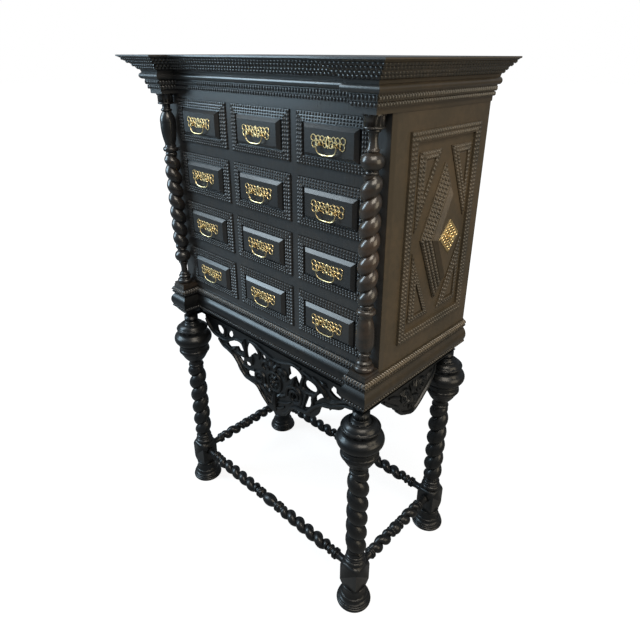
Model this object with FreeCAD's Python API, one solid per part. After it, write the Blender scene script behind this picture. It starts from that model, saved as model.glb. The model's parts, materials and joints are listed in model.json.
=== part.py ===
import FreeCAD, Part
import math
import os

V = FreeCAD.Vector

# A cabinet of twelve drawers on an open stand, in blackened hardwood with brass pulls.
# Millimetres, +Z up, front towards -Y. The origin is the centre of the outline's box, on the floor.

# Carcass
carcass_half_width = 402.0
carcass_depth = 399.0
side_thickness = 20.0
back_thickness = 12.0
facade_thickness = 18.0
divider_thickness = 20.0
shelf_thickness = 12.0
lid_thickness = 12.0
guide_height = 20.0

# Openings for the drawers: rows from the top, columns from the left
drawer_rows = 4
drawer_columns = 3
opening_height = 121.0
muntin_width = 22.0
rail_height = 27.5
bottom_rail_height = 20.0
top_rail_height = 11.5

# Drawers and their clearances
side_gap = 1.0
slide_gap = 0.4
top_gap = 1.4
stop_gap = 0.4
front_thickness = 15.0
front_stand_out = 1.0
drawer_side_thickness = 9.0
drawer_bottom_thickness = 6.0
drawer_wall_drop = 16.0

# Mouldings of a drawer front
frame_band = 21.5
frame_outer_rise = 1.5
frame_inner_rise = 4.5
panel_side_margin = 28.0
panel_top_margin = 23.6
panel_wall_rise = 4.5
panel_chamfer = 8.5
panel_chamfer_rise = 7.5

# Drawer pull: pierced plate, two posts, a bail and a lock behind the front
plate_width = 104.0
plate_height = 30.0
plate_thickness = 1.5
eye_radius = 3.4
keyhole_radius = 2.4
post_radius = 3.2
post_overlap = 3.4
post_drop = 5.0
bail_stand_off = 6.4
bail_radius = 1.7
bail_half_width = 30.0
bail_drop = 21.5
bail_corner_radius = 14.0
bail_clearance = 0.2
lock_width = 44.0
lock_height = 30.0
lock_thickness = 9.0

# Plan of the mouldings: the breaks stand forward over and under the columns
moulding_back = 3.0
break_width = 57.0
break_depth = 52.5

# Entablature
cornice_height = 45.0
cornice_reach = 60.0
torus_height = 18.5
torus_reach = 20.0
frieze_height = 36.5
frieze_reach = 8.0

# Columns
plinth_height = 15.0
plinth_half = 27.0
plinth_step = 2.0
column_radius = 24.0
column_base_height = 28.0
column_cap_height = 29.0
column_vase_height = 145.0
column_twist_height = 291.0
column_twist_radius = 20.0
column_twist_swing = 3.8
column_twist_pitch = 41.6

# Base of the cabinet and top frame of the stand
base_height = 21.0
base_reach = 4.0
stand_frame_height = 89.0
stand_frame_reach = 9.5
frame_wall = 63.0
rear_rail_thickness = 60.0

# Stand: legs and feet
leg_inset = 28.0
front_leg_advance = 24.0
rear_leg_inset = 25.0
stem_height = 17.0
stem_radius = 22.5
bulb_height = 180.0
bulb_radius = 63.0
leg_twist_height = 295.0
leg_twist_radius = 23.2
leg_twist_swing = 3.8
leg_twist_pitch = 53.6
collar_height = 40.0
collar_radius = 31.0
block_height = 92.0
block_half = 30.5
foot_height = 68.0
foot_radius = 51.5

# Stretchers
stretcher_drop = 35.0
stretcher_radius = 20.0
stretcher_twist_radius = 14.6
stretcher_twist_swing = 2.9
stretcher_twist_pitch = 40.4
stretcher_end_length = 76.5
stretcher_middle_half = 65.0
side_stretcher_end_length = 51.5
side_stretcher_middle_half = 27.0

# Aprons
apron_inset = 20.0
apron_thickness = 8.0
apron_end_gap = 24.0
apron_drop = 230.0
side_apron_thickness = 14.0
side_apron_end_gap = 72.0
side_apron_drop = 118.0

# Side panels: ripple frame, four corner triangles, a diamond and its lozenge
side_frame_band = 24.0
side_frame_setback = 65.0
side_frame_rear_gap = 43.0
side_frame_lift = 51.5
side_frame_drop = 42.0
side_frame_rise = 6.0
triangle_side_gap = 14.5
triangle_end_gap = 21.2
triangle_width_share = 0.402
triangle_height_share = 0.44
triangle_band = 17.0
triangle_outer_rise = 3.0
triangle_inner_rise = 8.0
triangle_field_rise = 6.0
triangle_chamfer = 5.0
diamond_width_share = 0.748
diamond_height_share = 0.829
diamond_outer_rise = 4.0
diamond_inner_rise = 20.0
diamond_band = 21.8
lozenge_wall_rise = 21.6
lozenge_chamfer = 7.2
lozenge_face_rise = 31.0
rosette_half = 41.0
rosette_thickness = 1.6
rosette_eye_radius = 5.0
knob_radius = 8.0
knob_length = 13.0

# One overrun serves all cuts
overrun = 5.0
steps_per_turn = 10
# A quarter round bulges from its chord by half of tan(22.5 degrees) of it
quarter_swell_share = math.tan(math.radians(22.5)) / 2

# Heights
block_top = foot_height + block_height
collar_top = block_top + collar_height
leg_twist_top = collar_top + leg_twist_height
bulb_top = leg_twist_top + bulb_height
frame_bottom = bulb_top + stem_height
base_bottom = frame_bottom + stand_frame_height
base_top = base_bottom + base_height
row_pitch = opening_height + rail_height
openings_height = drawer_rows * row_pitch - rail_height
facade_top = base_top + bottom_rail_height + openings_height + top_rail_height
frieze_top = facade_top + frieze_height
torus_top = frieze_top + torus_height
top = torus_top + cornice_height
ceiling = facade_top - top_rail_height
floor = base_top + bottom_rail_height

# Depths: the cornice's front edge and the rear bulbs are the two ends of the outline
leg_half_spacing = (carcass_depth + front_leg_advance - rear_leg_inset) / 2
facade_from_legs = leg_half_spacing - front_leg_advance
side_apron_half_width = leg_half_spacing - side_apron_end_gap
front_reach = facade_from_legs + moulding_back + break_depth + cornice_reach
rear_reach = leg_half_spacing + bulb_radius
leg_line = (front_reach - rear_reach) / 2
facade_y = leg_line - facade_from_legs
board_y = facade_y + facade_thickness
rear_y = facade_y + carcass_depth
back_y = rear_y - back_thickness
main_y = facade_y - moulding_back
break_y = main_y - break_depth

# Widths: the drawers fill the space between the columns and just pass them
flat_x = carcass_half_width + moulding_back
break_x = flat_x - break_width
core_x = break_x + moulding_back
column_x = flat_x - plinth_half
column_y = facade_y - plinth_half
openings_half = column_x - column_radius
column_pitch = (2 * openings_half + muntin_width) / drawer_columns
opening_width = column_pitch - muntin_width
inner_x = carcass_half_width - side_thickness
leg_centre_x = carcass_half_width - leg_inset
apron_half_width = leg_centre_x - apron_end_gap

# Side panels
side_frame_width = carcass_depth - side_frame_setback - side_frame_rear_gap
side_frame_height = facade_top - base_top - side_frame_lift - side_frame_drop
side_field_width = side_frame_width - 2 * side_frame_band
side_field_height = side_frame_height - 2 * side_frame_band
triangle_spacing = side_field_width - 2 * triangle_side_gap
triangle_column = side_field_height - 2 * triangle_end_gap
triangle_width = triangle_width_share * triangle_spacing
triangle_height = triangle_height_share * triangle_column
diamond_width = diamond_width_share * triangle_spacing
diamond_height = diamond_height_share * triangle_column


def box(x0, x1, y0, y1, z0, z1):
    return Part.makeBox(x1 - x0, y1 - y0, z1 - z0, V(x0, y0, z0))


def block(x, y, half, z0, z1):
    return box(x - half, x + half, y - half, y + half, z0, z1)


def edges(points, place):
    """Edges through points (u, v, swell): the stretch that ends at a point bulges by its share."""
    result = []
    for (u0, v0, skipped), (u1, v1, swell) in zip(points, points[1:]):
        start = place(u0, v0)
        end = place(u1, v1)
        if swell:
            u = (u0 + u1) / 2 + swell * (v1 - v0)
            v = (v0 + v1) / 2 - swell * (u1 - u0)
            result.append(Part.Arc(start, place(u, v), end).toShape())
        else:
            result.append(Part.LineSegment(start, end).toShape())
    return result


def scaled(shares, width, height, bottom=0):
    return [(u * width, bottom + v * height, swell) for u, v, swell in shares]


def loop(points, place):
    """A closed wire; the first point's swell is that of the stretch that closes it."""
    return Part.Wire(edges(points + points[:1], place))


def polygon(vectors):
    return Part.makePolygon(vectors + vectors[:1])


def turned(points):
    """A turning on the Z axis from its outline (radius, height, swell), lowest point first."""
    outline = [(0, points[0][1], 0)] + points[:]
    outline[1] = (points[0][0], points[0][1], 0)
    outline.append((0, points[-1][1], 0))
    face = Part.Face(loop(outline, lambda u, v: V(u, 0, v)))
    return face.revolve(V(0, 0, 0), V(0, 0, 1), 360)


def twist(radius, swing, pitch, height, hand):
    """A single-start barley twist: a round section that swings about the axis as it climbs."""
    turns = height / pitch
    steps = max(round(turns * steps_per_turn), 2)
    wires = []
    for step in range(steps + 1):
        angle = hand * 2 * math.pi * turns * step / steps
        x = swing * math.cos(angle)
        y = swing * math.sin(angle)
        wires.append(Part.Wire(Part.makeCircle(radius, V(x, y, height * step / steps))))
    return Part.makeLoft(wires, True, True)


def mirrored(shapes, normal=V(1, 0, 0), base=V(0, 0, 0)):
    return [shape.mirror(base, normal) for shape in shapes]


def moved(shapes, x=0, y=0, z=0):
    return [shape.translated(V(x, y, z)) for shape in shapes]


def export(name, shapes):
    Part.makeCompound(shapes).exportStep("parts/" + name + ".step")


def inset(points, distance):
    """A convex outline, listed counter-clockwise, moved inwards by a distance."""
    lines = []
    for (u0, v0), (u1, v1) in zip(points, points[1:] + points[:1]):
        length = math.hypot(u1 - u0, v1 - v0)
        du = (u1 - u0) / length
        dv = (v1 - v0) / length
        lines.append((u0 - distance * dv, v0 + distance * du, du, dv))
    result = []
    for (u0, v0, du0, dv0), (u1, v1, du1, dv1) in zip(lines[-1:] + lines[:-1], lines):
        cross = du0 * dv1 - dv0 * du1
        along = ((u1 - u0) * dv1 - (v1 - v0) * du1) / cross
        result.append((u0 + along * du0, v0 + along * dv0))
    return result


def flat_faced(sections):
    """A solid of flat faces through sections with as many corners each."""
    faces = [Part.Face(polygon(sections[0])), Part.Face(polygon(sections[-1]))]
    for near, far in zip(sections, sections[1:]):
        for index in range(len(near)):
            after = (index + 1) % len(near)
            faces.append(Part.Face(polygon([near[index], near[after], far[after], far[index]])))
    solid = Part.makeSolid(Part.makeShell(faces))
    if solid.Volume < 0:
        solid.reverse()
    return solid


def mitred(outer, inner, place, outer_rise, inner_rise):
    """Mitred strips between two outlines with as many corners, each rise its own."""
    strips = []
    for index in range(len(outer)):
        ends = []
        for corner in (index, (index + 1) % len(outer)):
            (u0, v0), (u1, v1) = outer[corner], inner[corner]
            ends.append([place(u0, v0, 0), place(u0, v0, outer_rise),
                         place(u1, v1, inner_rise), place(u1, v1, 0)])
        strips.append(flat_faced(ends))
    return strips


def raised(outer, inner, place, wall_rise, face_rise):
    """A fielded block: upright wall, then a chamfer up to a flat face."""
    levels = [(outer, 0), (outer, wall_rise), (inner, face_rise)]
    return flat_faced([[place(u, v, rise) for u, v in points] for points, rise in levels])


def rectangle(width, height, u=0, v=0):
    corners = [(-1, -1), (1, -1), (1, 1), (-1, 1)]
    return [(u + a * width / 2, v + b * height / 2) for a, b in corners]


def diamond(width, height, u=0, v=0):
    return [(u, v - height / 2), (u + width / 2, v), (u, v + height / 2), (u - width / 2, v)]


def run(outline, back, place, travel):
    """A length of moulding from its outline (out, up, swell), lowest point first."""
    closed = [(-back, outline[0][1], 0), (outline[0][0], outline[0][1], 0)] + outline[1:]
    closed.append((-back, outline[-1][1], 0))
    return Part.Face(loop(closed, place)).extrude(travel)


def plan(points, z0, z1):
    face = Part.Face(polygon([V(x, y, z0) for x, y in points]))
    return face.extrude(V(0, 0, z1 - z0))


def mitred_moulding(outline):
    """Seven mitred lengths: both sides, the breaks with their returns, and the front."""
    low = outline[0][1]
    high = outline[-1][1]
    far = cornice_reach + overrun
    back = moulding_back

    def corner(x, y, out):
        return (x + out, y - out)

    def inner(x, y, out):
        return (x - out, y - out)

    sectors = [
        [(flat_x - back, rear_y), (flat_x + far, rear_y), corner(flat_x, break_y, far),
         corner(flat_x, break_y, -back)],
        [corner(flat_x, break_y, -back), corner(flat_x, break_y, far),
         inner(break_x, break_y, far), inner(break_x, break_y, -back)],
        [inner(break_x, break_y, -back), inner(break_x, break_y, far),
         inner(break_x, main_y, far), inner(break_x, main_y, -back)],
    ]
    length = rear_y - break_y + 2 * far
    width = break_width + 2 * far
    lengths = [
        run(outline, back, lambda u, v: V(flat_x + u, break_y - far, v), V(0, length, 0)),
        run(outline, back, lambda u, v: V(break_x - far, break_y - u, v), V(width, 0, 0)),
        run(outline, back, lambda u, v: V(break_x - u, break_y - far, v), V(0, length, 0)),
    ]
    right = [shape.common(plan(sector, low, high)) for shape, sector in zip(lengths, sectors)]
    front = run(outline, back, lambda u, v: V(-flat_x, main_y - u, v), V(2 * flat_x, 0, 0))
    ends = [inner(break_x, main_y, -back), inner(break_x, main_y, far)]
    ends += [(-x, y) for x, y in ends[::-1]]
    pieces = right + mirrored(right) + [front.common(plan(ends, low, high))]
    return [solid for piece in pieces for solid in piece.Solids]


def rail_frame(outline, reach):
    """A frame under the whole plan: corner blocks, side rails, front rail and rear rail."""
    low = outline[0][1]
    high = outline[-1][1]
    split = break_x - reach - plinth_step
    rail_x = flat_x - frame_wall
    rail_y = main_y + frame_wall
    span = 2 * flat_x + 2 * overrun

    def side(y0, y1):
        depth = flat_x - split
        return run(outline, depth, lambda u, v: V(flat_x + u, y0, v), V(0, y1 - y0, 0))

    def main(x0, x1):
        return run(outline, frame_wall, lambda u, v: V(x0, main_y - u, v), V(x1 - x0, 0, 0))

    front_depth = break_depth + frame_wall
    break_front = run(outline, front_depth, lambda u, v: V(split, break_y - u, v), V(span, 0, 0))
    break_side = run(outline, break_width + reach + overrun,
                     lambda u, v: V(break_x - u, break_y - span, v), V(0, 2 * span, 0))
    corner = side(break_y - reach - overrun, rail_y).common(break_front)
    corner = corner.common(break_side.fuse(main(split - overrun, flat_x + reach + overrun)))
    flank = side(rail_y, rear_y).cut(box(0, rail_x, rail_y - overrun, rear_y + overrun, low, high))
    right = corner.Solids + flank.Solids
    rear = box(-rail_x, rail_x, rear_y - rear_rail_thickness, rear_y, low, high)
    return right + mirrored(right) + [main(-split, split), rear]


# Outlines of the mouldings: out, up, swell

cornice_shares = [
    (0.23, 0.0, 0), (0.23, 0.17, 0), (0.3, 0.17, 0), (0.56, 0.5, -0.04), (0.95, 0.9, -0.04),
    (1.0, 0.92, 0), (1.0, 1.0, 0),
]
torus_shares = [(0.45, 0.0, 0), (0.45, 0.08, 0), (0.58, 0.08, 0), (0.58, 1.0, 0.49)]
frieze_shares = [
    (0.0, 0.0, 0), (0.0, 0.33, 0), (0.6, 0.33, 0), (0.6, 0.61, 0), (0.3, 0.62, 0), (0.3, 0.65, 0),
    (1.0, 0.65, 0), (1.0, 1.0, 0),
]
base_shares = [
    (0.5, 0.0, 0), (0.5, 0.29, 0.2), (0.0, 0.3, 0), (0.0, 0.43, 0), (0.35, 0.43, 0),
    (0.35, 0.86, 0.35), (0.0, 0.86, 0), (0.0, 1.0, 0),
]
stand_frame_shares = [
    (-1.6, 0.0, 0), (-1.6, 0.035, 0), (-2.2, 0.04, 0), (0.93, 0.55, 0.06), (0.1, 0.93, 0.16),
    (0.1, 1.0, 0),
]

# Outlines of the turnings: radius, height, swell

foot_shares = [
    (0.93, 0.0, 0), (0.93, 0.15, 0.35), (0.9, 0.16, 0), (0.9, 0.25, 0.4), (0.84, 0.26, 0),
    (0.84, 0.33, 0.4), (0.74, 0.47, -0.12), (0.75, 0.49, 0), (0.74, 0.54, 0.4), (0.69, 0.56, 0),
    (0.64, 0.86, -0.08), (0.64, 0.9, 0), (0.64, 1.0, 0.3),
]
shoulder_shares = [(1.15, 0.0, 0), (1.43, 0.2, 0.05), (1.43, 0.82, 0), (1.12, 1.0, 0.08)]
collar_shares = [
    (0.86, 0.0, 0), (0.86, 0.38, 0.3), (0.8, 0.4, 0), (0.8, 0.52, 0.3), (0.76, 0.54, 0),
    (0.8, 0.8, 0.3), (0.76, 0.82, 0), (0.76, 1.0, -0.1),
]
bulb_shares = [
    (0.37, 0.0, 0), (0.37, 0.05, 0.3), (0.35, 0.07, 0), (0.44, 0.15, -0.1), (0.66, 0.27, 0.05),
    (0.76, 0.34, 0.05), (0.79, 0.36, 0.2), (0.78, 0.41, 0.15), (0.75, 0.42, 0), (0.74, 0.49, -0.06),
    (0.79, 0.51, 0), (0.8, 0.53, 0.3), (0.86, 0.73, 0.29), (0.77, 0.77, 0), (0.78, 0.79, -0.1),
    (0.8, 0.83, 0), (0.78, 0.86, 0.4), (0.72, 0.87, 0), (0.43, 0.94, 0.15), (0.41, 0.95, 0),
    (0.36, 1.0, -0.1),
]
vase_shares = [
    (0.5, 0.0, 0), (0.5, 0.08, -0.05), (0.58, 0.085, 0), (0.58, 0.135, 0.3), (0.52, 0.14, 0),
    (0.92, 0.36, 0.1), (0.67, 0.74, 0.04), (0.68, 0.81, -0.1), (0.7, 0.82, 0), (0.7, 0.92, 0.4),
    (0.62, 0.93, 0), (0.62, 1.0, 0.2),
]
ball_shares = [
    (0.56, 0.0, 0), (0.56, 0.08, 0.2), (0.46, 0.09, 0), (0.46, 0.5, 0.37), (0.56, 0.51, 0),
    (0.56, 0.56, 0.3), (0.5, 0.58, 0), (0.44, 0.92, -0.06), (0.54, 0.93, 0), (0.54, 1.0, 0.3),
]
column_base_shares = [
    (0.74, 0.0, 0), (0.74, 0.5, 0.46), (0.7, 0.52, 0), (0.7, 0.68, -0.1), (0.74, 0.72, 0),
    (0.74, 0.9, 0.3), (0.68, 1.0, 0),
]
column_cap_shares = [
    (0.84, 0.0, 0), (0.84, 0.18, 0.5), (0.84, 0.2, 0), (0.9, 0.22, 0), (0.9, 0.85, 0),
    (1.0, 0.86, 0), (1.0, 1.0, 0),
]
stretcher_middle_shares = [
    (0.6, 0.0, 0), (0.6, 0.07, -0.1), (0.75, 0.08, 0), (0.75, 0.15, 0.3), (0.75, 0.16, 0),
    (0.75, 0.23, 0.3), (0.5, 0.25, 0), (0.5, 0.28, -0.1), (0.5, 0.72, 0.17), (0.5, 0.75, 0),
    (0.75, 0.77, 0), (0.75, 0.84, 0.3), (0.75, 0.85, 0), (0.75, 0.92, 0.3), (0.6, 0.93, 0),
    (0.6, 1.0, -0.1),
]
stretcher_end_shares = [
    (0.6, 0.0, 0), (0.6, 0.1, -0.1), (0.66, 0.11, 0), (0.66, 0.22, 0.3), (0.6, 0.24, 0),
    (0.6, 0.33, -0.1), (0.76, 0.35, 0), (0.76, 0.42, 0.4), (0.76, 0.44, 0), (0.76, 0.51, 0.4),
    (0.62, 0.53, 0), (0.7, 1.0, -0.06),
]
side_middle_shares = [
    (0.6, 0.0, 0), (0.78, 0.06, 0), (0.78, 0.18, 0.3), (0.6, 0.2, 0), (0.6, 0.8, 0.23),
    (0.78, 0.82, 0), (0.78, 0.94, 0.3), (0.6, 1.0, 0),
]
side_end_shares = [
    (0.6, 0.0, 0), (0.78, 0.04, 0), (0.78, 0.14, 0.4), (0.78, 0.16, 0), (0.78, 0.28, 0.4),
    (0.62, 0.32, 0), (0.7, 1.0, -0.06),
]
knob_shares = [
    (1.0, 0.0, 0), (1.0, 0.15, 0), (0.45, 0.25, 0), (0.4, 0.5, 0), (0.7, 0.6, 0), (0.6, 0.95, 0.25),
    (0.2, 1.0, 0),
]

# Outline of the front apron's right half, from its lowest point: across, up, swell
apron_shares = [
    (0.0, 0.0, 0), (0.123, 0.05, 0.1), (0.255, 0.28, -0.05), (0.349, 0.295, -0.08),
    (0.424, 0.295, 0.1), (0.537, 0.46, 0.16), (0.575, 0.57, -0.05), (0.632, 0.6, 0),
    (0.66, 0.57, -0.1), (0.688, 0.61, -0.1), (0.717, 0.63, 0), (0.82, 0.75, 0.1),
    (0.91, 0.78, 0.05), (0.966, 0.87, -0.1), (1.0, 0.93, 0), (1.0, 1.0, 0),
]
# Piercings of the apron, counter-clockwise, to the right and to the left of its middle
right_hole_shares = [
    [(0.656, 0.85, 0.2), (0.74, 0.8, 0.1), (0.773, 0.85, 0.3), (0.724, 0.881, 0),
     (0.721, 0.94, 0.1), (0.67, 0.896, 0.3)],
    [(0.373, 0.76, 0.1), (0.383, 0.705, 0.1), (0.48, 0.692, 0.1), (0.528, 0.775, 0.1),
     (0.418, 0.832, 0.1)],
    [(0.496, 0.63, 0.1), (0.5, 0.57, 0), (0.618, 0.71, -0.1), (0.566, 0.745, 0.1)],
    [(0.415, 0.6, -0.12), (0.364, 0.39, 0), (0.383, 0.39, 0.3), (0.448, 0.52, 0.15),
     (0.443, 0.61, 0.15)],
    [(0.195, 0.757, 0), (0.166, 0.69, 0.1), (0.185, 0.67, 0.3), (0.255, 0.773, 0),
     (0.303, 0.653, 0), (0.344, 0.78, 0.1), (0.335, 0.85, 0), (0.236, 0.905, 0.1),
     (0.184, 0.846, 0.2)],
]
left_hole_shares = [
    [(0.824, 0.88, 0.1), (0.745, 0.93, 0.15), (0.712, 0.885, 0), (0.742, 0.789, 0.1),
     (0.796, 0.79, 0.1)],
    [(0.623, 0.906, 0.1), (0.575, 0.94, 0.2), (0.566, 0.89, 0), (0.626, 0.81, 0.1),
     (0.655, 0.835, 0.2)],
    [(0.673, 0.69, 0.1), (0.532, 0.815, 0.1), (0.453, 0.81, 0.1), (0.42, 0.72, 0),
     (0.49, 0.678, 0.1), (0.518, 0.728, 0), (0.636, 0.65, 0)],
    [(0.361, 0.859, 0.1), (0.302, 0.905, 0.2), (0.217, 0.8, 0.1), (0.236, 0.765, 0.2),
     (0.279, 0.772, 0), (0.362, 0.64, 0), (0.381, 0.68, 0.2)],
    [(0.164, 0.79, 0.4), (0.113, 0.81, 0.5)],
    [(0.457, 0.62, 0.2), (0.424, 0.6, 0.2), (0.471, 0.52, 0.2), (0.499, 0.53, 0.2)],
    [(0.381, 0.569, 0.2), (0.33, 0.56, 0.2), (0.372, 0.501, 0.2), (0.409, 0.515, 0.2)],
    [(0.37, 0.422, 0.2), (0.297, 0.48, 0.2), (0.278, 0.44, 0.2), (0.332, 0.357, 0.2),
     (0.381, 0.36, 0.2)],
]

# Outline of a side apron, from its top rear corner down and up again to the front
side_apron_shares = [
    (-1.0, 1.0, 0), (-1.0, 0.92, 0), (-0.66, 0.58, 0.06), (-0.5, 0.46, -0.08), (-0.46, 0.36, 0.1),
    (-0.37, 0.25, -0.1), (-0.13, 0.09, 0.1), (0.17, 0.0, 0.1), (0.27, 0.04, -0.05),
    (0.41, 0.12, 0.05), (0.59, 0.28, 0.06), (0.77, 0.43, -0.04), (0.98, 0.75, 0.1),
    (1.0, 1.0, 0),
]
# Outline of the pull's plate, its right half from the middle of the lower edge
plate_shares = [
    (0.0, -0.5, 0), (0.09, -0.36, 0.2), (0.31, -0.3, 0.28), (0.37, -0.24, 0),
    (0.56, -0.24, 0.28), (0.66, -0.2, 0), (0.72, -0.38, 0), (0.9, -0.38, 0.17),
    (0.92, -0.02, 0.13), (0.96, 0.1, 0), (0.93, 0.42, 0.17), (0.74, 0.4, 0.13),
    (0.69, 0.32, 0), (0.46, 0.33, 0.24), (0.25, 0.32, 0.27), (0.08, 0.3, 0.24), (0.0, 0.5, 0.2),
]
# Eyes of the plate: across, up, radius
plate_eye_shares = [
    (0.155, 0.21, 0.9), (0.35, 0.25, 0.95), (0.57, 0.24, 1.05), (0.85, 0.24, 1.3),
    (0.32, -0.02, 0.6), (0.65, -0.03, 0.8), (0.2, -0.27, 0.9), (0.81, -0.22, 1.3),
]
rosette_eye_shares = [(0.0, 0.55), (0.0, -0.55), (0.55, 0.0), (-0.55, 0.0)]

os.makedirs("parts", exist_ok=True)

# Carcass
sides = [box(inner_x, carcass_half_width, board_y, rear_y, base_top, top - lid_thickness)]
export("carcass_side_right", sides)
export("carcass_side_left", mirrored(sides))
export("carcass_top", [box(-carcass_half_width, carcass_half_width, facade_y, rear_y,
                           top - lid_thickness, top)])
export("carcass_bottom", [box(-inner_x, inner_x, board_y, back_y, base_top, floor)])
export("carcass_back", [box(-inner_x, inner_x, back_y, rear_y, base_top, top - lid_thickness)])

# Dividers behind the muntins, shelves behind the rails, guides beside the outer drawers
ceiling_top = ceiling + shelf_thickness
divider_lines = []
for column in range(1, drawer_columns):
    divider_lines.append(-openings_half + column * column_pitch - muntin_width / 2)
walls = [-inner_x]
grid = []
for x in divider_lines:
    grid.append(box(x - divider_thickness / 2, x + divider_thickness / 2, board_y, back_y,
                    floor, ceiling))
    walls += [x - divider_thickness / 2, x + divider_thickness / 2]
walls.append(inner_x)
for row in range(1, drawer_rows):
    shelf_top = floor + row * row_pitch
    for left, right in zip(walls[::2], walls[1::2]):
        grid.append(box(left, right, board_y, back_y, shelf_top - shelf_thickness, shelf_top))
for row in range(drawer_rows):
    guide_bottom = floor + row * row_pitch
    guide = box(openings_half, inner_x, board_y, back_y, guide_bottom, guide_bottom + guide_height)
    grid += [guide] + mirrored([guide])
grid.append(box(-inner_x, inner_x, board_y, back_y, ceiling, ceiling_top))
export("partition_grid", grid)

# Facade frame: stiles, rails and the muntins between them
stile = box(openings_half, carcass_half_width, facade_y, board_y, base_top, facade_top)
facade = [stile] + mirrored([stile])
facade.append(box(-openings_half, openings_half, facade_y, board_y, base_top, floor))
facade.append(box(-openings_half, openings_half, main_y, board_y, ceiling, facade_top))
for row in range(1, drawer_rows):
    rail_top = floor + row * row_pitch
    facade.append(box(-openings_half, openings_half, facade_y, board_y, rail_top - rail_height,
                      rail_top))
for row in range(drawer_rows):
    low = floor + row * row_pitch
    for x in divider_lines:
        facade.append(box(x - muntin_width / 2, x + muntin_width / 2, facade_y, board_y, low,
                          low + opening_height))
export("facade_frame", facade)

# Entablature
cornice = mitred_moulding(scaled(cornice_shares, cornice_reach, cornice_height, torus_top))
export("cornice", cornice)
cornice_torus = mitred_moulding(scaled(torus_shares, torus_reach, torus_height, frieze_top))
export("cornice_torus", cornice_torus)
frieze = mitred_moulding(scaled(frieze_shares, frieze_reach, frieze_height, facade_top))
core = box(core_x, carcass_half_width, break_y + moulding_back, facade_y, facade_top, top)
header = box(-carcass_half_width, carcass_half_width, facade_y, board_y, facade_top,
             top - lid_thickness)
export("frieze", frieze + [core] + mirrored([core]) + [header])

# Base of the cabinet and top frame of the stand
export("base_bead", rail_frame(scaled(base_shares, base_reach, base_height, base_bottom),
                               base_reach))
stand_outline = scaled(stand_frame_shares, stand_frame_reach, stand_frame_height, frame_bottom)
export("stand_frame", rail_frame(stand_outline, stand_frame_reach))

# Columns: the left one stands upside down between its base and its cap
plinths = []
plinth_split = base_top + plinth_height / 2
plinths.append(block(column_x, column_y, plinth_half, base_top, plinth_split))
plinths.append(block(column_x, column_y, plinth_half - plinth_step, plinth_split,
                     base_top + plinth_height))
export("column_plinths", plinths + mirrored(plinths))
column_foot = base_top + plinth_height
column_base = turned(scaled(column_base_shares, column_radius, column_base_height, column_foot))
spindle_bottom = column_foot + column_base_height
spindle_top = facade_top - column_cap_height
vase_top = spindle_bottom + column_vase_height
twist_end = vase_top + column_twist_height
spindle = [turned(scaled(vase_shares, column_radius, column_vase_height, spindle_bottom))]
spindle += moved([twist(column_twist_radius, column_twist_swing, column_twist_pitch,
                        column_twist_height, 1)], z=vase_top)
spindle.append(turned(scaled(ball_shares, column_radius, spindle_top - twist_end, twist_end)))
column_cap = turned(scaled(column_cap_shares, column_radius, column_cap_height, spindle_top))
export("column_right", moved([column_base, column_cap] + spindle, column_x, column_y))
spindle_middle = V(0, 0, (spindle_bottom + spindle_top) / 2)
inverted = mirrored(spindle, V(0, 0, 1), spindle_middle)
export("column_left", moved([column_base, column_cap] + inverted, -column_x, column_y))

# Legs: foot, square block, collar, twist, bulb and stem
for end, side, hand in [("front", "right", -1), ("front", "left", 1), ("rear", "right", 1),
                        ("rear", "left", -1)]:
    foot = turned(scaled(foot_shares, foot_radius, foot_height))
    shoulder = turned(scaled(shoulder_shares, block_half, block_height, foot_height))
    square = block(0, 0, block_half, foot_height, block_top).common(shoulder).Solids
    collar = turned(scaled(collar_shares, collar_radius, collar_height, block_top))
    leg_twist = twist(leg_twist_radius, leg_twist_swing, leg_twist_pitch, leg_twist_height, hand)
    bulb = turned(scaled(bulb_shares, bulb_radius, bulb_height, leg_twist_top))
    stem = Part.makeCylinder(stem_radius, stem_height, V(0, 0, bulb_top))
    pieces = [foot] + square + [collar] + moved([leg_twist], z=collar_top) + [bulb, stem]
    leg_x = leg_centre_x if side == "right" else -leg_centre_x
    leg_y = leg_line - leg_half_spacing if end == "front" else leg_line + leg_half_spacing
    export("leg_" + end + "_" + side, moved(pieces, leg_x, leg_y))

# Stretchers between the blocks
stretcher_z = block_top - stretcher_drop


def stretcher(half, middle_shares, middle_half, end_shares, end_length):
    """A turned stretcher on the Z axis about its middle, with mirrored twists."""
    middle = turned(scaled(middle_shares, stretcher_radius, 2 * middle_half, -middle_half))
    end = turned(scaled(end_shares, stretcher_radius, end_length, half - end_length))
    length = half - end_length - middle_half
    coil = twist(stretcher_twist_radius, stretcher_twist_swing, stretcher_twist_pitch, length, 1)
    outer = moved([coil], z=middle_half) + [end]
    return [middle] + outer + mirrored(outer, V(0, 0, 1))


long_half = leg_centre_x - block_half
short_half = leg_half_spacing - block_half
long_pieces = stretcher(long_half, stretcher_middle_shares, stretcher_middle_half,
                        stretcher_end_shares, stretcher_end_length)
long_pieces = [piece.rotated(V(0, 0, 0), V(0, 1, 0), 90) for piece in long_pieces]
short_pieces = stretcher(short_half, side_middle_shares, side_stretcher_middle_half,
                         side_end_shares, side_stretcher_end_length)
short_pieces = [piece.rotated(V(0, 0, 0), V(1, 0, 0), 90) for piece in short_pieces]
stretchers = moved(long_pieces, 0, leg_line - leg_half_spacing, stretcher_z)
stretchers += moved(long_pieces, 0, leg_line + leg_half_spacing, stretcher_z)
stretchers += moved(short_pieces, leg_centre_x, leg_line, stretcher_z)
stretchers += moved(short_pieces, -leg_centre_x, leg_line, stretcher_z)
export("stretchers", stretchers)


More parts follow.
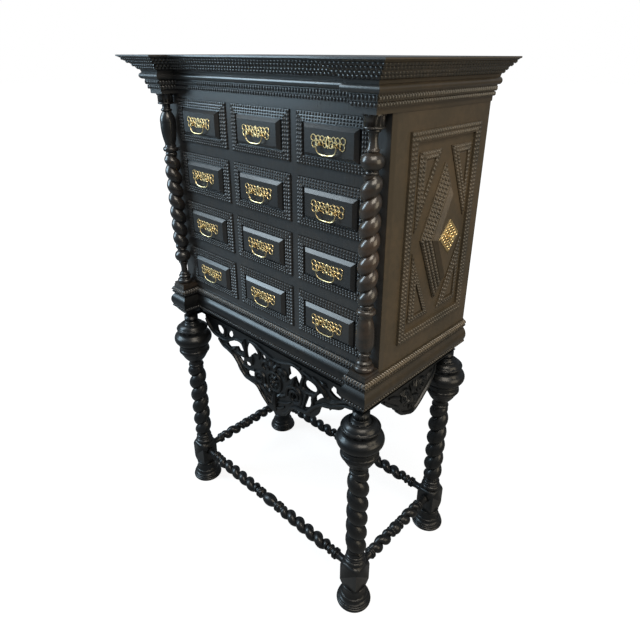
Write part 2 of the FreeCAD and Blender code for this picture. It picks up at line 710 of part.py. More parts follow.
def both_halves(half):
    """A closed outline from its right half, listed counter-clockwise from the middle line."""
    whole = [(half[0][0], half[0][1], half[1][2])] + half[1:]
    if half[-1][0]:
        whole.append((-half[-1][0], half[-1][1], 0))
    for index in range(len(half) - 2, 0, -1):
        whole.append((-half[index][0], half[index][1], half[index + 1][2]))
    return whole


def cut_plate(outline, holes, place, travel):
    face = Part.Face([loop(outline, place)] + [loop(hole, place) for hole in holes])
    return face.extrude(travel)


# Front apron
apron_bottom = frame_bottom - apron_drop
apron_outline = both_halves(scaled(apron_shares, apron_half_width, apron_drop, apron_bottom))
holes = [scaled(shares, apron_half_width, apron_drop, apron_bottom) for shares in right_hole_shares]
for shares in left_hole_shares:
    turned_over = [(-u, v, -swell) for u, v, swell in shares]
    holes.append(scaled(turned_over, apron_half_width, apron_drop, apron_bottom))
apron_y = main_y + apron_inset
front_apron = cut_plate(apron_outline, holes, lambda u, v: V(u, apron_y, v),
                        V(0, apron_thickness, 0))
export("front_apron", [front_apron])

# Side aprons
side_outline = scaled(side_apron_shares, side_apron_half_width, side_apron_drop,
                      frame_bottom - side_apron_drop)
side_apron = cut_plate(side_outline, [], lambda u, v: V(flat_x - apron_inset, leg_line + u, v),
                       V(-side_apron_thickness, 0, 0))
export("side_aprons", [side_apron] + mirrored([side_apron]))

# Side panels
panel_y = facade_y + side_frame_setback + side_frame_width / 2
panel_z = base_top + side_frame_lift + side_frame_height / 2


def on_side(u, v, rise):
    return V(carcass_half_width + rise, panel_y + u, panel_z + v)


side_frame = rectangle(side_frame_width, side_frame_height)
side_panel = mitred(side_frame, inset(side_frame, side_frame_band), on_side, side_frame_rise,
                    side_frame_rise)
corner_y = triangle_spacing / 2
corner_z = triangle_column / 2
triangle = [(corner_y, corner_z), (corner_y - triangle_width, corner_z),
            (corner_y, corner_z - triangle_height)]
triangle_inner = inset(triangle, triangle_band)
corner = mitred(triangle, triangle_inner, on_side, triangle_outer_rise, triangle_inner_rise)
corner.append(raised(triangle_inner, inset(triangle_inner, triangle_chamfer), on_side,
                     triangle_outer_rise, triangle_field_rise))
panel_centre = V(0, panel_y, panel_z)
corner += mirrored(corner, V(0, 1, 0), panel_centre)
side_panel += corner + mirrored(corner, V(0, 0, 1), panel_centre)
ripple_diamond = diamond(diamond_width, diamond_height)
lozenge = inset(ripple_diamond, diamond_band)
side_panel += mitred(ripple_diamond, lozenge, on_side, diamond_outer_rise, diamond_inner_rise)
side_panel.append(raised(lozenge, inset(lozenge, lozenge_chamfer), on_side, lozenge_wall_rise,
                         lozenge_face_rise))
export("side_panel_mouldings", side_panel + mirrored(side_panel))

# Rosettes on the lozenges
rosette_outline = [(u, v, 0) for u, v in diamond(2 * rosette_half, 2 * rosette_half)]
rosette_holes = []
for u, v in rosette_eye_shares:
    centre = on_side(u * rosette_half, v * rosette_half, lozenge_face_rise)
    rosette_holes.append(Part.Wire(Part.makeCircle(rosette_eye_radius, centre, V(1, 0, 0))))
rosette = Part.Face([loop(rosette_outline, lambda u, v: on_side(u, v, lozenge_face_rise))]
                    + rosette_holes).extrude(V(rosette_thickness, 0, 0))
knob = turned(scaled(knob_shares, knob_radius, knob_length)).rotated(V(0, 0, 0), V(0, 1, 0), 90)
knob.translate(on_side(0, 0, lozenge_face_rise + rosette_thickness))
export("side_rosettes", [rosette, knob] + mirrored([rosette, knob]))

# One drawer about x = 0, its opening's sill at z = 0
drawer_width = opening_width - 2 * side_gap
drawer_top = opening_height - top_gap
front_y = facade_y - front_stand_out
box_front_y = front_y + front_thickness
box_rear_y = back_y - stop_gap
wall_top = drawer_top - drawer_wall_drop
centre_z = (slide_gap + drawer_top) / 2
wall_x = drawer_width / 2 - drawer_side_thickness
field_rise = panel_wall_rise + panel_chamfer_rise


def on_front(u, v, rise):
    return V(u, front_y - rise, centre_z + v)


keyhole = Part.makeCylinder(keyhole_radius, 2 * field_rise + 2 * front_thickness,
                            on_front(0, 0, 2 * field_rise), V(0, 1, 0))
drawer = [box(-drawer_width / 2, drawer_width / 2, front_y, box_front_y, slide_gap,
              drawer_top).cut(keyhole)]
wall = box(wall_x, drawer_width / 2, box_front_y, box_rear_y, slide_gap, wall_top)
drawer += [wall] + mirrored([wall])
drawer.append(box(-wall_x, wall_x, box_rear_y - drawer_side_thickness, box_rear_y, slide_gap,
                  wall_top))
drawer.append(box(-wall_x, wall_x, box_front_y, box_rear_y - drawer_side_thickness, slide_gap,
                  slide_gap + drawer_bottom_thickness))
front_outline = rectangle(drawer_width, drawer_top - slide_gap)
drawer += mitred(front_outline, inset(front_outline, frame_band), on_front, frame_outer_rise,
                 frame_inner_rise)
panel_outline = rectangle(drawer_width - 2 * panel_side_margin,
                          drawer_top - slide_gap - 2 * panel_top_margin)
drawer.append(raised(panel_outline, inset(panel_outline, panel_chamfer), on_front,
                     panel_wall_rise, field_rise).cut(keyhole))

# Its pull, with the lock that the keyhole serves
plate_outline = both_halves(scaled(plate_shares, plate_width / 2, plate_height))
plate_holes = [Part.Wire(Part.makeCircle(keyhole_radius, on_front(0, 0, field_rise), V(0, 1, 0)))]
for u, v, radius in plate_eye_shares:
    for hand in (-1, 1):
        eye = on_front(hand * u * plate_width / 2, v * plate_height, field_rise)
        plate_holes.append(Part.Wire(Part.makeCircle(radius * eye_radius, eye, V(0, 1, 0))))
plate = Part.Face([loop(plate_outline, lambda u, v: on_front(u, v, field_rise))]
                  + plate_holes).extrude(V(0, -plate_thickness, 0))
plate_rise = field_rise + plate_thickness
pivot_rise = plate_rise + bail_stand_off
bend = 2 * bail_radius
pin_end = bail_half_width - bend - post_radius - bail_clearance
bore = Part.makeCylinder(bail_radius + bail_clearance, 2 * pin_end,
                         on_front(0, -post_drop, pivot_rise), V(1, 0, 0))
post = Part.makeCylinder(post_radius, bail_stand_off + post_overlap,
                         on_front(pin_end, -post_drop, plate_rise), V(0, -1, 0)).cut(bore)
lock_bottom = centre_z - lock_height / 2
lock = box(-lock_width / 2, lock_width / 2, box_front_y, box_front_y + lock_thickness,
           lock_bottom, lock_bottom + lock_height)
pull = [plate, post] + mirrored([post]) + [lock]

# Its bail, hanging from pins in the two posts
bail_half = [(0, -bail_drop, 0), (bail_half_width - bail_corner_radius, -bail_drop, 0),
             (bail_half_width, bail_corner_radius - bail_drop, quarter_swell_share),
             (bail_half_width, -bend, 0), (bail_half_width - bend, 0, quarter_swell_share),
             (pin_end, 0, 0)]
right_path = edges(bail_half[1:], lambda u, v: on_front(u, v - post_drop, pivot_rise))
left_path = [edge.mirror(V(0, 0, 0), V(1, 0, 0)) for edge in right_path]
grip = edges([(-bail_half[1][0], -bail_drop, 0), (bail_half[1][0], -bail_drop, 0)],
             lambda u, v: on_front(u, v - post_drop, pivot_rise))
path = Part.Wire(Part.__sortEdges__(left_path + grip + right_path))
start = on_front(-pin_end, -post_drop, pivot_rise)
section = Part.Wire(Part.makeCircle(bail_radius, start, V(1, 0, 0)))
bail = path.makePipeShell([section], True, False)

for row in range(drawer_rows):
    for column in range(drawer_columns):
        place = "_r" + str(row + 1) + "c" + str(column + 1)
        x = (column - (drawer_columns - 1) / 2) * column_pitch
        z = floor + (drawer_rows - 1 - row) * row_pitch
        export("drawer" + place, moved(drawer, x, 0, z))
        export("pull" + place, moved(pull, x, 0, z))
        export("bail" + place, moved([bail], x, 0, z))
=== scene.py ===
# %% [markdown]
# # A cabinet of twelve drawers on a turned stand
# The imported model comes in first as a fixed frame. Its boards, turnings and mouldings already have
# their right shape, so they stay and only get a finish. What a hand tool leaves on the real piece,
# such as ripples, twists, carving and pierced brass, is modelled here on top of it. That way each
# tool does what it is good at, and the drawers still fit their openings.

# %% Load the frame
import json
import math

import bpy
from mathutils import Matrix, Vector

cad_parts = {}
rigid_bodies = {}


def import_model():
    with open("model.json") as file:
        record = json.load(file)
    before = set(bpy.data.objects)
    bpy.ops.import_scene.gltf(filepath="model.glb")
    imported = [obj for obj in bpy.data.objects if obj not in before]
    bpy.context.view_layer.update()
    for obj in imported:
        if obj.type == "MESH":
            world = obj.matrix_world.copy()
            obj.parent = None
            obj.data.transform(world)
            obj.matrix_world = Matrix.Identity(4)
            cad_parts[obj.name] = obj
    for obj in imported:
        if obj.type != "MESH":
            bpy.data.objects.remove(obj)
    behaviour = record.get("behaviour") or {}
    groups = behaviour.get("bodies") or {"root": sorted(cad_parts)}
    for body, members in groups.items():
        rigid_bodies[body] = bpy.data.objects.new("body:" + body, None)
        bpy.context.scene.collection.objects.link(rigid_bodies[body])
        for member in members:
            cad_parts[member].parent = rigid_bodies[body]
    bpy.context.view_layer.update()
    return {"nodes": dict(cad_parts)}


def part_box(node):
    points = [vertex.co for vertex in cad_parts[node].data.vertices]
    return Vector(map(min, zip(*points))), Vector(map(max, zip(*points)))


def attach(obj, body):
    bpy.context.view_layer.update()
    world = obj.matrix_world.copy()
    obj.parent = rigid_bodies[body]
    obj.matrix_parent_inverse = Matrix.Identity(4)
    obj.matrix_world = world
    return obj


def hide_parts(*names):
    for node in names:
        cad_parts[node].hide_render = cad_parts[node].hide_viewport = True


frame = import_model()
nodes = frame["nodes"]

# %% [markdown]
# ## Places taken from the frame
# The mouldings of the real case step forward over both columns. Every place below comes from the
# box of a node, so that a piece sits on what carries it and follows when the frame changes. The
# flat plane of the mouldings lies a little outside the boards.

# %% Planes, heights and rows
low, high = (Vector(corner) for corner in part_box("carcass_top"))
board_x = high.x
facade_y = low.y
rear_y = high.y
plane_gap = 0.003
flat_x = board_x + plane_gap
main_y = facade_y - plane_gap
break_width = 0.057
break_reach = 0.0525
break_x = flat_x - break_width
break_y = main_y - break_reach
torus_box = [Vector(corner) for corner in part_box("cornice_torus")]
frieze_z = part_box("frieze")[0][2]
base_box = [Vector(corner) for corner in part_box("base_bead")]
stand_box = [Vector(corner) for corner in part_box("stand_frame")]
print("flat planes", round(flat_x, 4), round(main_y, 4), round(break_y, 4))

# %% [markdown]
# ## Hand tools
# A few short helpers stand in for the clicks that each step would take in the window: start with
# nothing selected, work on one piece, apply what was done, and join what was made apart. An
# operator acts on all that is selected, so each helper selects its own piece first.

# %% Selecting, placing and joining


def alone(piece):
    bpy.ops.object.select_all(action="DESELECT")
    piece.select_set(True)
    bpy.context.view_layer.objects.active = piece
    return piece


def edit(piece, select="SELECT"):
    alone(piece)
    bpy.ops.object.mode_set(mode="EDIT")
    bpy.ops.mesh.select_all(action=select)


def done():
    bpy.ops.object.mode_set(mode="OBJECT")


def placed(piece, matrix=None):
    if matrix is not None:
        piece.matrix_world = matrix
    alone(piece)
    bpy.ops.object.transform_apply(location=True, rotation=True, scale=True)
    return piece


def joined(pieces, name):
    alone(pieces[0])
    for piece in pieces[1:]:
        piece.select_set(True)
    if len(pieces) > 1:
        bpy.ops.object.join()
    pieces[0].name = name
    pieces[0].data.name = name
    return pieces[0]


# %% Copying, and applying modifiers


def copied(piece, name, shift=(0, 0, 0), flip=None):
    twin = piece.copy()
    twin.data = piece.data.copy()
    twin.name = name
    bpy.context.collection.objects.link(twin)
    matrix = Matrix.Translation(shift)
    if flip is not None:
        matrix = matrix @ Matrix.Scale(-1, 4, Vector(flip))
    placed(twin, matrix)
    if flip is not None:
        edit(twin)
        bpy.ops.mesh.normals_make_consistent(inside=False)
        done()
    return twin


def finish_modifiers(piece):
    alone(piece)
    for modifier in list(piece.modifiers):
        bpy.ops.object.modifier_apply(modifier=modifier.name)
    return piece


# %% Smoothing, cutting and closing
smooth_angle = math.radians(32)


def smoothed(piece, angle=smooth_angle):
    alone(piece)
    bpy.ops.object.shade_smooth_by_angle(angle=angle)
    return piece


def trim(piece, point, normal):
    """Cuts away what lies behind a plane."""
    edit(piece)
    bpy.ops.mesh.bisect(plane_co=point, plane_no=Vector(normal).normalized(), clear_inner=True)
    done()


def close(piece):
    """Closes every open loop by itself and turns all faces outward."""
    edit(piece)
    bpy.ops.mesh.fill_holes(sides=0)
    bpy.ops.mesh.normals_make_consistent(inside=False)
    done()
    return piece


print("hand tools ready, smooth below", round(math.degrees(smooth_angle)), "degrees")

# %% [markdown]
# ## Shader sums as plain Python
# A material could be wired node by node, but a mask is easier to read as a sum. So one small class
# wraps a socket, and each sign between two of them adds the Math node that does it.

# %% Shader helper


class Value:
    def __init__(self, tree, socket):
        self.tree = tree
        self.socket = socket

    def math(self, operation, other=None, swap=False, clamp=False):
        node = self.tree.nodes.new("ShaderNodeMath")
        node.operation = operation
        node.use_clamp = clamp
        first, second = (other, self) if swap else (self, other)
        for index, item in enumerate((first, second)):
            if isinstance(item, Value):
                self.tree.links.new(item.socket, node.inputs[index])
            elif item is not None:
                node.inputs[index].default_value = item
        return Value(self.tree, node.outputs[0])

    def __add__(self, other):
        return self.math("ADD", other)

    def __mul__(self, other):
        return self.math("MULTIPLY", other)

    def __sub__(self, other):
        return self.math("SUBTRACT", other)

    def __rsub__(self, other):
        return self.math("SUBTRACT", other, swap=True)

    __radd__ = __add__
    __rmul__ = __mul__

    def clamp(self):
        return self.math("ADD", 0.0, clamp=True)


# %% A surface and the nodes that feed it


class Finish:
    """One material: a Principled surface and a short way to add the nodes that feed it."""

    def __init__(self, name, roughness, metallic=0.0, specular=0.5):
        self.material = bpy.data.materials.new(name)
        self.material.use_nodes = True
        self.tree = self.material.node_tree
        self.surface = self.tree.nodes["Principled BSDF"]
        self.surface.inputs["Roughness"].default_value = roughness
        self.surface.inputs["Metallic"].default_value = metallic
        self.surface.inputs["Specular IOR Level"].default_value = specular
        coordinates = self.tree.nodes.new("ShaderNodeTexCoord")
        self.place = coordinates.outputs["Object"]

    def node(self, kind, settings=None, output=0, **inputs):
        node = self.tree.nodes.new(kind)
        for key, value in (settings or {}).items():
            setattr(node, key, value)
        for key, value in inputs.items():
            socket = node.inputs[key.replace("_", " ")]
            if isinstance(value, Value):
                self.tree.links.new(value.socket, socket)
            elif isinstance(value, bpy.types.NodeSocket):
                self.tree.links.new(value, socket)
            else:
                socket.default_value = value
        return Value(self.tree, node.outputs[output])

    def axes(self):
        node = self.tree.nodes.new("ShaderNodeSeparateXYZ")
        self.tree.links.new(self.place, node.inputs[0])
        return [Value(self.tree, output) for output in node.outputs]

    def stretched(self, scale):
        return self.node("ShaderNodeMapping", Vector=self.place, Scale=scale).socket

    def noise(self, scale, detail=4.0, stretch=(1, 1, 1), rough=0.55):
        return self.node("ShaderNodeTexNoise", Vector=self.stretched(stretch), Scale=scale,
                         Detail=detail, Roughness=rough)

    def ramp(self, value, low_stop, high_stop):
        return self.node("ShaderNodeMapRange", {"clamp": True}, Value=value, From_Min=low_stop,
                         From_Max=high_stop)

    def mix(self, mask, first, second):
        node = self.tree.nodes.new("ShaderNodeMix")
        node.data_type = "RGBA"
        self.tree.links.new(mask.socket, node.inputs["Factor"])
        for socket, colour in ((node.inputs[6], first), (node.inputs[7], second)):
            if isinstance(colour, Value):
                self.tree.links.new(colour.socket, socket)
            else:
                socket.default_value = (*colour, 1)
        return Value(self.tree, node.outputs[2])

    def feed(self, name, value):
        self.tree.links.new(value.socket, self.surface.inputs[name])

    def bump(self, height, distance, strength=1.0):
        node = self.tree.nodes.new("ShaderNodeBump")
        node.inputs["Strength"].default_value = strength
        node.inputs["Distance"].default_value = distance
        self.tree.links.new(height.socket, node.inputs["Height"])
        self.tree.links.new(node.outputs[0], self.surface.inputs["Normal"])


# %% [markdown]
# ## The blackened wood
# The wood is a dense brown one, stained black and waxed. Where hands and dusters have rubbed it,
# the brown comes through and the shine grows. A picture of wood would show its seams on so many
# small mouldings, so the pattern is made of noise: long stretched noise is the grain, broad noise
# is the wear, and both also move the roughness, since wear and gloss go together.

# %% Blackened wood
coat_roughness = 0.14
broad_share = 0.65
wear_start = 0.72
wear_end = 1.0
fibre_dullness = 0.16
wear_gloss = 0.08
fibre_relief = 0.7
dust_gain = 1.7
dust_floor = 0.004
streak_share = 0.35


def blackened_wood(name, tones, wear, grain=(1, 1, 0.08), roughness=0.3, coat=0.3, specular=0.42,
                   where=None, other_tones=None):
    """The tones are (black, brown). The other tones show where the mask is one."""
    finish = Finish(name, roughness, specular=specular)
    finish.surface.inputs["Coat Weight"].default_value = coat
    finish.surface.inputs["Coat Roughness"].default_value = coat_roughness
    fibre = finish.noise(scale=420, detail=5, stretch=grain)
    broad = finish.noise(scale=7, detail=3)
    fine = finish.noise(scale=60, detail=4)
    rubbed = finish.ramp(broad * broad_share + fine * (1 - broad_share), wear_start - wear,
                         wear_end - wear)
    dusty = tuple(part * dust_gain + dust_floor for part in tones[0])
    streaks = finish.ramp(fibre, low_stop=0.45, high_stop=0.8)
    tone = finish.mix(streaks * streak_share, finish.mix(rubbed, *tones), dusty)
    if where is not None:
        tone = finish.mix(where(finish), tone, finish.mix(rubbed, *other_tones))
    finish.feed("Base Color", tone)
    finish.feed("Roughness", (roughness + fibre * fibre_dullness - rubbed * wear_gloss).clamp())
    finish.bump(fibre * fibre_relief + fine * 0.3, distance=0.0005, strength=0.18)
    return finish.material


# %% [markdown]
# ## Where one tone ends and the next begins
# The same moulding runs round the corner, but the flanks are given an olive tone of their own, and
# the drawer boxes were never stained at all. Each face could get a material of its own. A mask made
# from the place does it better, since it cuts straight through ribs and mitres: each one rises from
# 0 to 1 within a few millimetres of its line.

# %% Masks by place
crown_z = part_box("cornice")[1][2]
bare_y = facade_y + 0.014
mitre_slope = 400
flank_slope = 600
top_slope = 1000
bare_slope = 2000


def towards_side(finish):
    """One beyond the mitre at the corner of the flank and below the top of the cornice."""
    x, y, z = finish.axes()
    reach = x.math("ABSOLUTE")
    beyond = ((reach - flat_x) + (y - break_y)) * mitre_slope + 0.5
    below_top = ((crown_z - z) * top_slope - 0.5).clamp()
    return beyond.clamp() * ((reach - flat_x) * flank_slope + 3).clamp() * below_top


def behind_front(finish):
    """One behind the front board of a drawer, where the box was never stained."""
    return ((finish.axes()[1] - bare_y) * bare_slope).clamp()


print("flank tones end at the height", round(crown_z, 4))

# %% [markdown]
# ## The woods of this cabinet
# The front is cool and dark, the flanks are olive, the columns are browner and the stand is nearly
# black. The base and the stand are painted darker than the wood above, a painted shade for the light
# that falls off lower down, and the left column is a darker copy of the right one, painted shade.
# The ribs have more wax on them than the flat boards, and on the flanks they are painted darker than
# the boards, a painted shade for the dark valleys between them. The upper row of ribs on the base is
# painted paler, a painted highlight. They are one material with other tones, so that all of them
# keep the same grain.

# %% Tones and woods
front_tones = ((0.031, 0.0312, 0.0315), (0.05, 0.043, 0.037))
panel_tones = ((0.023, 0.0235, 0.0242), (0.042, 0.036, 0.031))
side_tones = ((0.05, 0.039, 0.0245), (0.085, 0.061, 0.036))
# Darker than the flank boards: painted shade for the dark valleys between the ribs on the flanks.
shaded_side_ripple_tones = ((0.034, 0.028, 0.018), (0.08, 0.06, 0.038))
# Paler tones: a painted highlight on the upper row of ribs of the base.
highlit_row_tones = ((0.046, 0.047, 0.047), (0.09, 0.078, 0.066))
highlit_row_side_tones = ((0.07, 0.056, 0.036), (0.13, 0.1, 0.064))
# The base is painted darker than the boards above: painted shade for the light that falls off lower
# down.
shaded_base_tones = ((0.006, 0.0065, 0.007), (0.018, 0.015, 0.0125))
shaded_base_side_tones = ((0.032, 0.0255, 0.0165), (0.056, 0.041, 0.025))
column_tones = ((0.014, 0.013, 0.0115), (0.058, 0.039, 0.027))
shaded_column_tones = ((0.009, 0.0095, 0.0105), (0.028, 0.021, 0.017))
# The stand is painted darkest: painted shade for the light that falls off towards the floor.
shaded_stand_tones = ((0.0035, 0.004, 0.0045), (0.012, 0.0105, 0.0095))
bare_tones = ((0.11, 0.066, 0.036), (0.2, 0.13, 0.078))
lengthwise_grain = (0.08, 1, 1)
front_wood = blackened_wood("front_wood", front_tones, wear=0.24, roughness=0.26, coat=0.22,
                            where=towards_side, other_tones=side_tones)
drawer_wood = blackened_wood("drawer_wood", panel_tones, wear=0.24, grain=lengthwise_grain,
                             roughness=0.27, coat=0.28, where=behind_front, other_tones=bare_tones)
side_wood = blackened_wood("side_wood", side_tones, wear=0.3, roughness=0.38, coat=0.05)
# Ribs of the side panels, painted darker than the flank boards: painted shade for their valleys.
shaded_side_ripple_wood = blackened_wood("shaded_side_ripple_wood", shaded_side_ripple_tones, wear=0.3, roughness=0.3,
                                  coat=0.3)
# On the flanks this wood takes the darker rib tones: painted shade for the valleys between the ribs.
ripple_wood = blackened_wood("ripple_wood", panel_tones, wear=0.24, roughness=0.24, coat=0.45,
                             where=towards_side, other_tones=shaded_side_ripple_tones)
# Paler than the other ribs: a painted highlight on the upper row of the base.
highlit_row_wood = blackened_wood("highlit_row_wood", highlit_row_tones, wear=0.34, roughness=0.24, coat=0.45,
                           where=towards_side, other_tones=highlit_row_side_tones)
# Darker than the boards above: painted shade lower down.
shaded_base_wood = blackened_wood("shaded_base_wood", shaded_base_tones, wear=0.24, roughness=0.27, coat=0.1,
                           specular=0.3, where=towards_side, other_tones=shaded_base_side_tones)
turned_wood = blackened_wood("turned_wood", column_tones, wear=0.33, roughness=0.27, coat=0.4)
# The same turned wood painted darker: painted shade on the left column.
shaded_turned_wood = blackened_wood("shaded_turned_wood", shaded_column_tones, wear=0.3,
                                  roughness=0.27, coat=0.35)
# Darkest of all: the blackened wood with painted shade for the light that falls off towards the
# floor.
shaded_stand_wood = blackened_wood("shaded_stand_wood", shaded_stand_tones, wear=0.24, roughness=0.3, coat=0.16,
                            specular=0.32)
print("blackened woods made")

# %% [markdown]
# ## Bare wood inside and at the back
# The shelves were never stained: plain wood, darkened by age. The back is made of upright planks,
# with a dark joint between one and the next. The joints could be cut, but a groove this thin is
# only ever seen as a dark line, so the material draws it.

# %% Inner wood
inner_tones = ((0.075, 0.045, 0.025), (0.21, 0.14, 0.085))
inner = Finish("inner_wood", roughness=0.6)
inner_grain = inner.noise(scale=260, detail=5, stretch=(1, 0.05, 1))
inner_broad = inner.noise(scale=9, detail=3)
inner_pattern = (inner_grain * 0.6 + inner_broad * 0.4).clamp()
inner.feed("Base Color", inner.mix(inner_pattern, *inner_tones))
inner.feed("Roughness", 0.5 + inner_grain * 0.25)
inner.bump(inner_grain, distance=0.0005, strength=0.4)
inner_wood = inner.material
print("inner wood made")

# %% Planks of the back
plank_tones = ((0.045, 0.029, 0.017), (0.13, 0.088, 0.054))
seam_tone = (0.008, 0.006, 0.005)
plank_width = 0.135
planks = Finish("back_planks", roughness=0.6)
plank_grain = planks.noise(scale=240, detail=5, stretch=(1, 1, 0.06))
plank_stain = planks.noise(scale=5, detail=4)
joint = planks.axes()[0].math("PINGPONG", plank_width / 2)
seam = planks.ramp(joint, low_stop=0.0008, high_stop=0.0026)
plank_tone = planks.mix((plank_grain * 0.5 + plank_stain * 0.5).clamp(), *plank_tones)
planks.feed("Base Color", planks.mix(seam, seam_tone, plank_tone))
planks.feed("Roughness", 0.5 + plank_grain * 0.25)
planks.bump(seam + plank_grain * 0.3, distance=0.001, strength=0.6)
back_wood = planks.material
print("planks", plank_width, "wide")

# %% [markdown]
# ## Aged brass
# The brass is old and polished only where it is touched. An even gold colour would look new, so a
# noise darkens it in patches, and the dark patches are also duller.

# %% Brass
brass_tones = ((0.95, 0.77, 0.42), (0.5, 0.34, 0.14))
brass_finish = Finish("brass", roughness=0.3, metallic=1.0)
patina = brass_finish.ramp(brass_finish.noise(scale=160, detail=4), low_stop=0.42, high_stop=0.7)
brass_finish.feed("Base Color", brass_finish.mix(patina, *brass_tones))
brass_finish.feed("Roughness", 0.32 + patina * 0.2)
brass_finish.bump(brass_finish.noise(scale=700, detail=3), distance=0.0002, strength=0.3)
brass = brass_finish.material
print("brass made")

# %% [markdown]
# ## The frame gets its finish
# Each node of the frame has a slot for its material already. The finish goes into that slot, and
# the node's mesh isn't touched.

# %% Painting the frame's nodes


def finished(piece, material):
    piece.data.materials.clear()
    piece.data.materials.append(material)
    return piece


def repaint(name, material):
    node = nodes[name]
    for slot in node.material_slots:
        slot.material = material


drawer_keys = ["r%dc%d" % (row, column) for row in (1, 2, 3, 4) for column in (1, 2, 3)]
node_finishes = [
    (front_wood, ["carcass_top", "facade_frame", "cornice", "cornice_torus", "frieze"]),
    (shaded_base_wood, ["base_bead", "stand_frame"]),
    (side_wood, ["carcass_side_left", "carcass_side_right", "side_panel_mouldings"]),
    (turned_wood, ["column_left", "column_right", "column_plinths"]),
    (shaded_stand_wood, ["leg_front_left", "leg_front_right", "leg_rear_left", "leg_rear_right",
                  "stretchers", "front_apron", "side_aprons"]),
    (back_wood, ["carcass_back"]),
    (inner_wood, ["carcass_bottom", "partition_grid"]),
    (drawer_wood, ["drawer_" + key for key in drawer_keys]),
    (brass, ["side_rosettes"] + ["pull_" + key for key in drawer_keys]
     + ["bail_" + key for key in drawer_keys]),
]
for material, names in node_finishes:
    for name in names:
        repaint(name, material)
print("nodes painted", sum(len(names) for _, names in node_finishes))

# %% [markdown]
# ## Ripple mouldings
# A ripple moulding is scraped with a cutter that rides over a wavy guide, so its ribs run across
# the strip in even steps. A bump in the material would look flat against the light and leave a
# straight outline, so the ribs are real. One round rib is modelled, repeated by an Array along the
# run, tipped onto its slope, and cut at both ends where the joiner would have cut the mitre.

# %% One rib
rib_steps = 8
rib_cross_steps = 6
rib_fill = 0.94
rib_edge_power = 4
rib_angle = math.radians(55)


def one_rib(pitch, width, height):
    """A wave across the run that falls off round at both edges of the strip."""
    bpy.ops.mesh.primitive_grid_add(x_subdivisions=rib_steps, y_subdivisions=rib_cross_steps,
                                    size=1)
    rib = placed(bpy.context.object)
    for vertex in rib.data.vertices:
        wave = math.cos(math.pi * vertex.co.x)
        vertex.co.z = max(0, wave * (1 - (2 * vertex.co.y) ** rib_edge_power))
    close(rib)
    return placed(rib, Matrix.Translation((pitch / 2, width / 2, 0))
                  @ Matrix.Diagonal((pitch * rib_fill, width, height, 1)))


print("one rib in", rib_steps, "by", rib_cross_steps, "steps")

# %% A row of ribs between two edges


def rib_row(near_start, near_end, far_start, far_end, face, height, pitch, anchor):
    """Ribs over the strip between a near and a far edge, raised towards the face direction.

    One rib has its middle beside the anchor, so that rows with the same anchor line up."""
    along = (near_end - near_start).normalized()
    across = far_start - near_start
    across -= along * across.dot(along)
    width = across.length
    across.normalize()
    out = along.cross(across)
    if out.dot(face) < 0:
        out = -out
    places = [(point - near_start).dot(along)
              for point in (near_start, near_end, far_start, far_end)]
    anchor_place = (anchor - near_start).dot(along)
    before = math.ceil((anchor_place - min(places)) / pitch)
    after = math.ceil((max(places) - anchor_place) / pitch)
    count = before + after + 1
    first = anchor_place - (before + 0.5) * pitch
    rib = one_rib(pitch, width, height)
    array = rib.modifiers.new("run", "ARRAY")
    array.count = count
    array.use_relative_offset = False
    array.use_constant_offset = True
    array.constant_offset_displace = (pitch, 0, 0)
    finish_modifiers(rib)
    trim(rib, (places[0] - first, 0, 0), (width, places[0] - places[2], 0))
    trim(rib, (places[1] - first, 0, 0), (-width, places[3] - places[1], 0))
    matrix = Matrix((along, across, out)).transposed().to_4x4()
    matrix.translation = near_start + along * first
    placed(rib, matrix)
    close(rib)
    return rib


# %% [markdown]
# ## The mouldings' plan
# The frieze and the cornice run along the right side, forward round the right column, back, across
# the front, and the same on the left. Each length could be placed by eye, but a rule is safer: at
# each corner the strip ends on a line that leaves the corner at 45 degrees, so a point further out
# also lies further along.

# %% Corners of the plan
half_plan = [(flat_x, rear_y), (flat_x, break_y), (break_x, break_y), (break_x, main_y)]
corners = [Vector((x, y, 0)) for x, y in half_plan + [(-x, y) for x, y in reversed(half_plan)]]
outward = [Vector(direction) for direction in ((1, 0, 0), (0, -1, 0), (-1, 0, 0), (0, -1, 0),
                                               (1, 0, 0), (0, -1, 0), (-1, 0, 0))]


def corner_point(index, out, height):
    lean = Vector((0, 0, 0))
    if index > 0:
        lean += outward[index - 1]
    if index < len(outward):
        lean += outward[index]
    return corners[index] + lean * out + Vector((0, 0, height))


print("plan with", len(corners), "corners")

# %% Ribs round the plan


def rows_round_plan(name, rows, foot_z, rib_height, pitch, material):
    """Each row is (out, rise from the foot) of its lower edge and of its upper edge."""
    pieces = []
    for (out_low, rise_low), (out_high, rise_high) in rows:
        z_low = foot_z + rise_low
        z_high = foot_z + rise_high
        for index, direction in enumerate(outward):
            face = direction * (z_high - z_low) + Vector((0, 0, out_low - out_high))
            pieces.append(rib_row(corner_point(index, out_low, z_low),
                                  corner_point(index + 1, out_low, z_low),
                                  corner_point(index, out_high, z_high),
                                  corner_point(index + 1, out_high, z_high),
                                  face, rib_height, pitch,
                                  (corners[index] + corners[index + 1]) / 2))
    piece = smoothed(finished(joined(pieces, name), material), rib_angle)
    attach(piece, "cabinet")
    print(name, len(piece.data.polygons), "faces")
    return piece


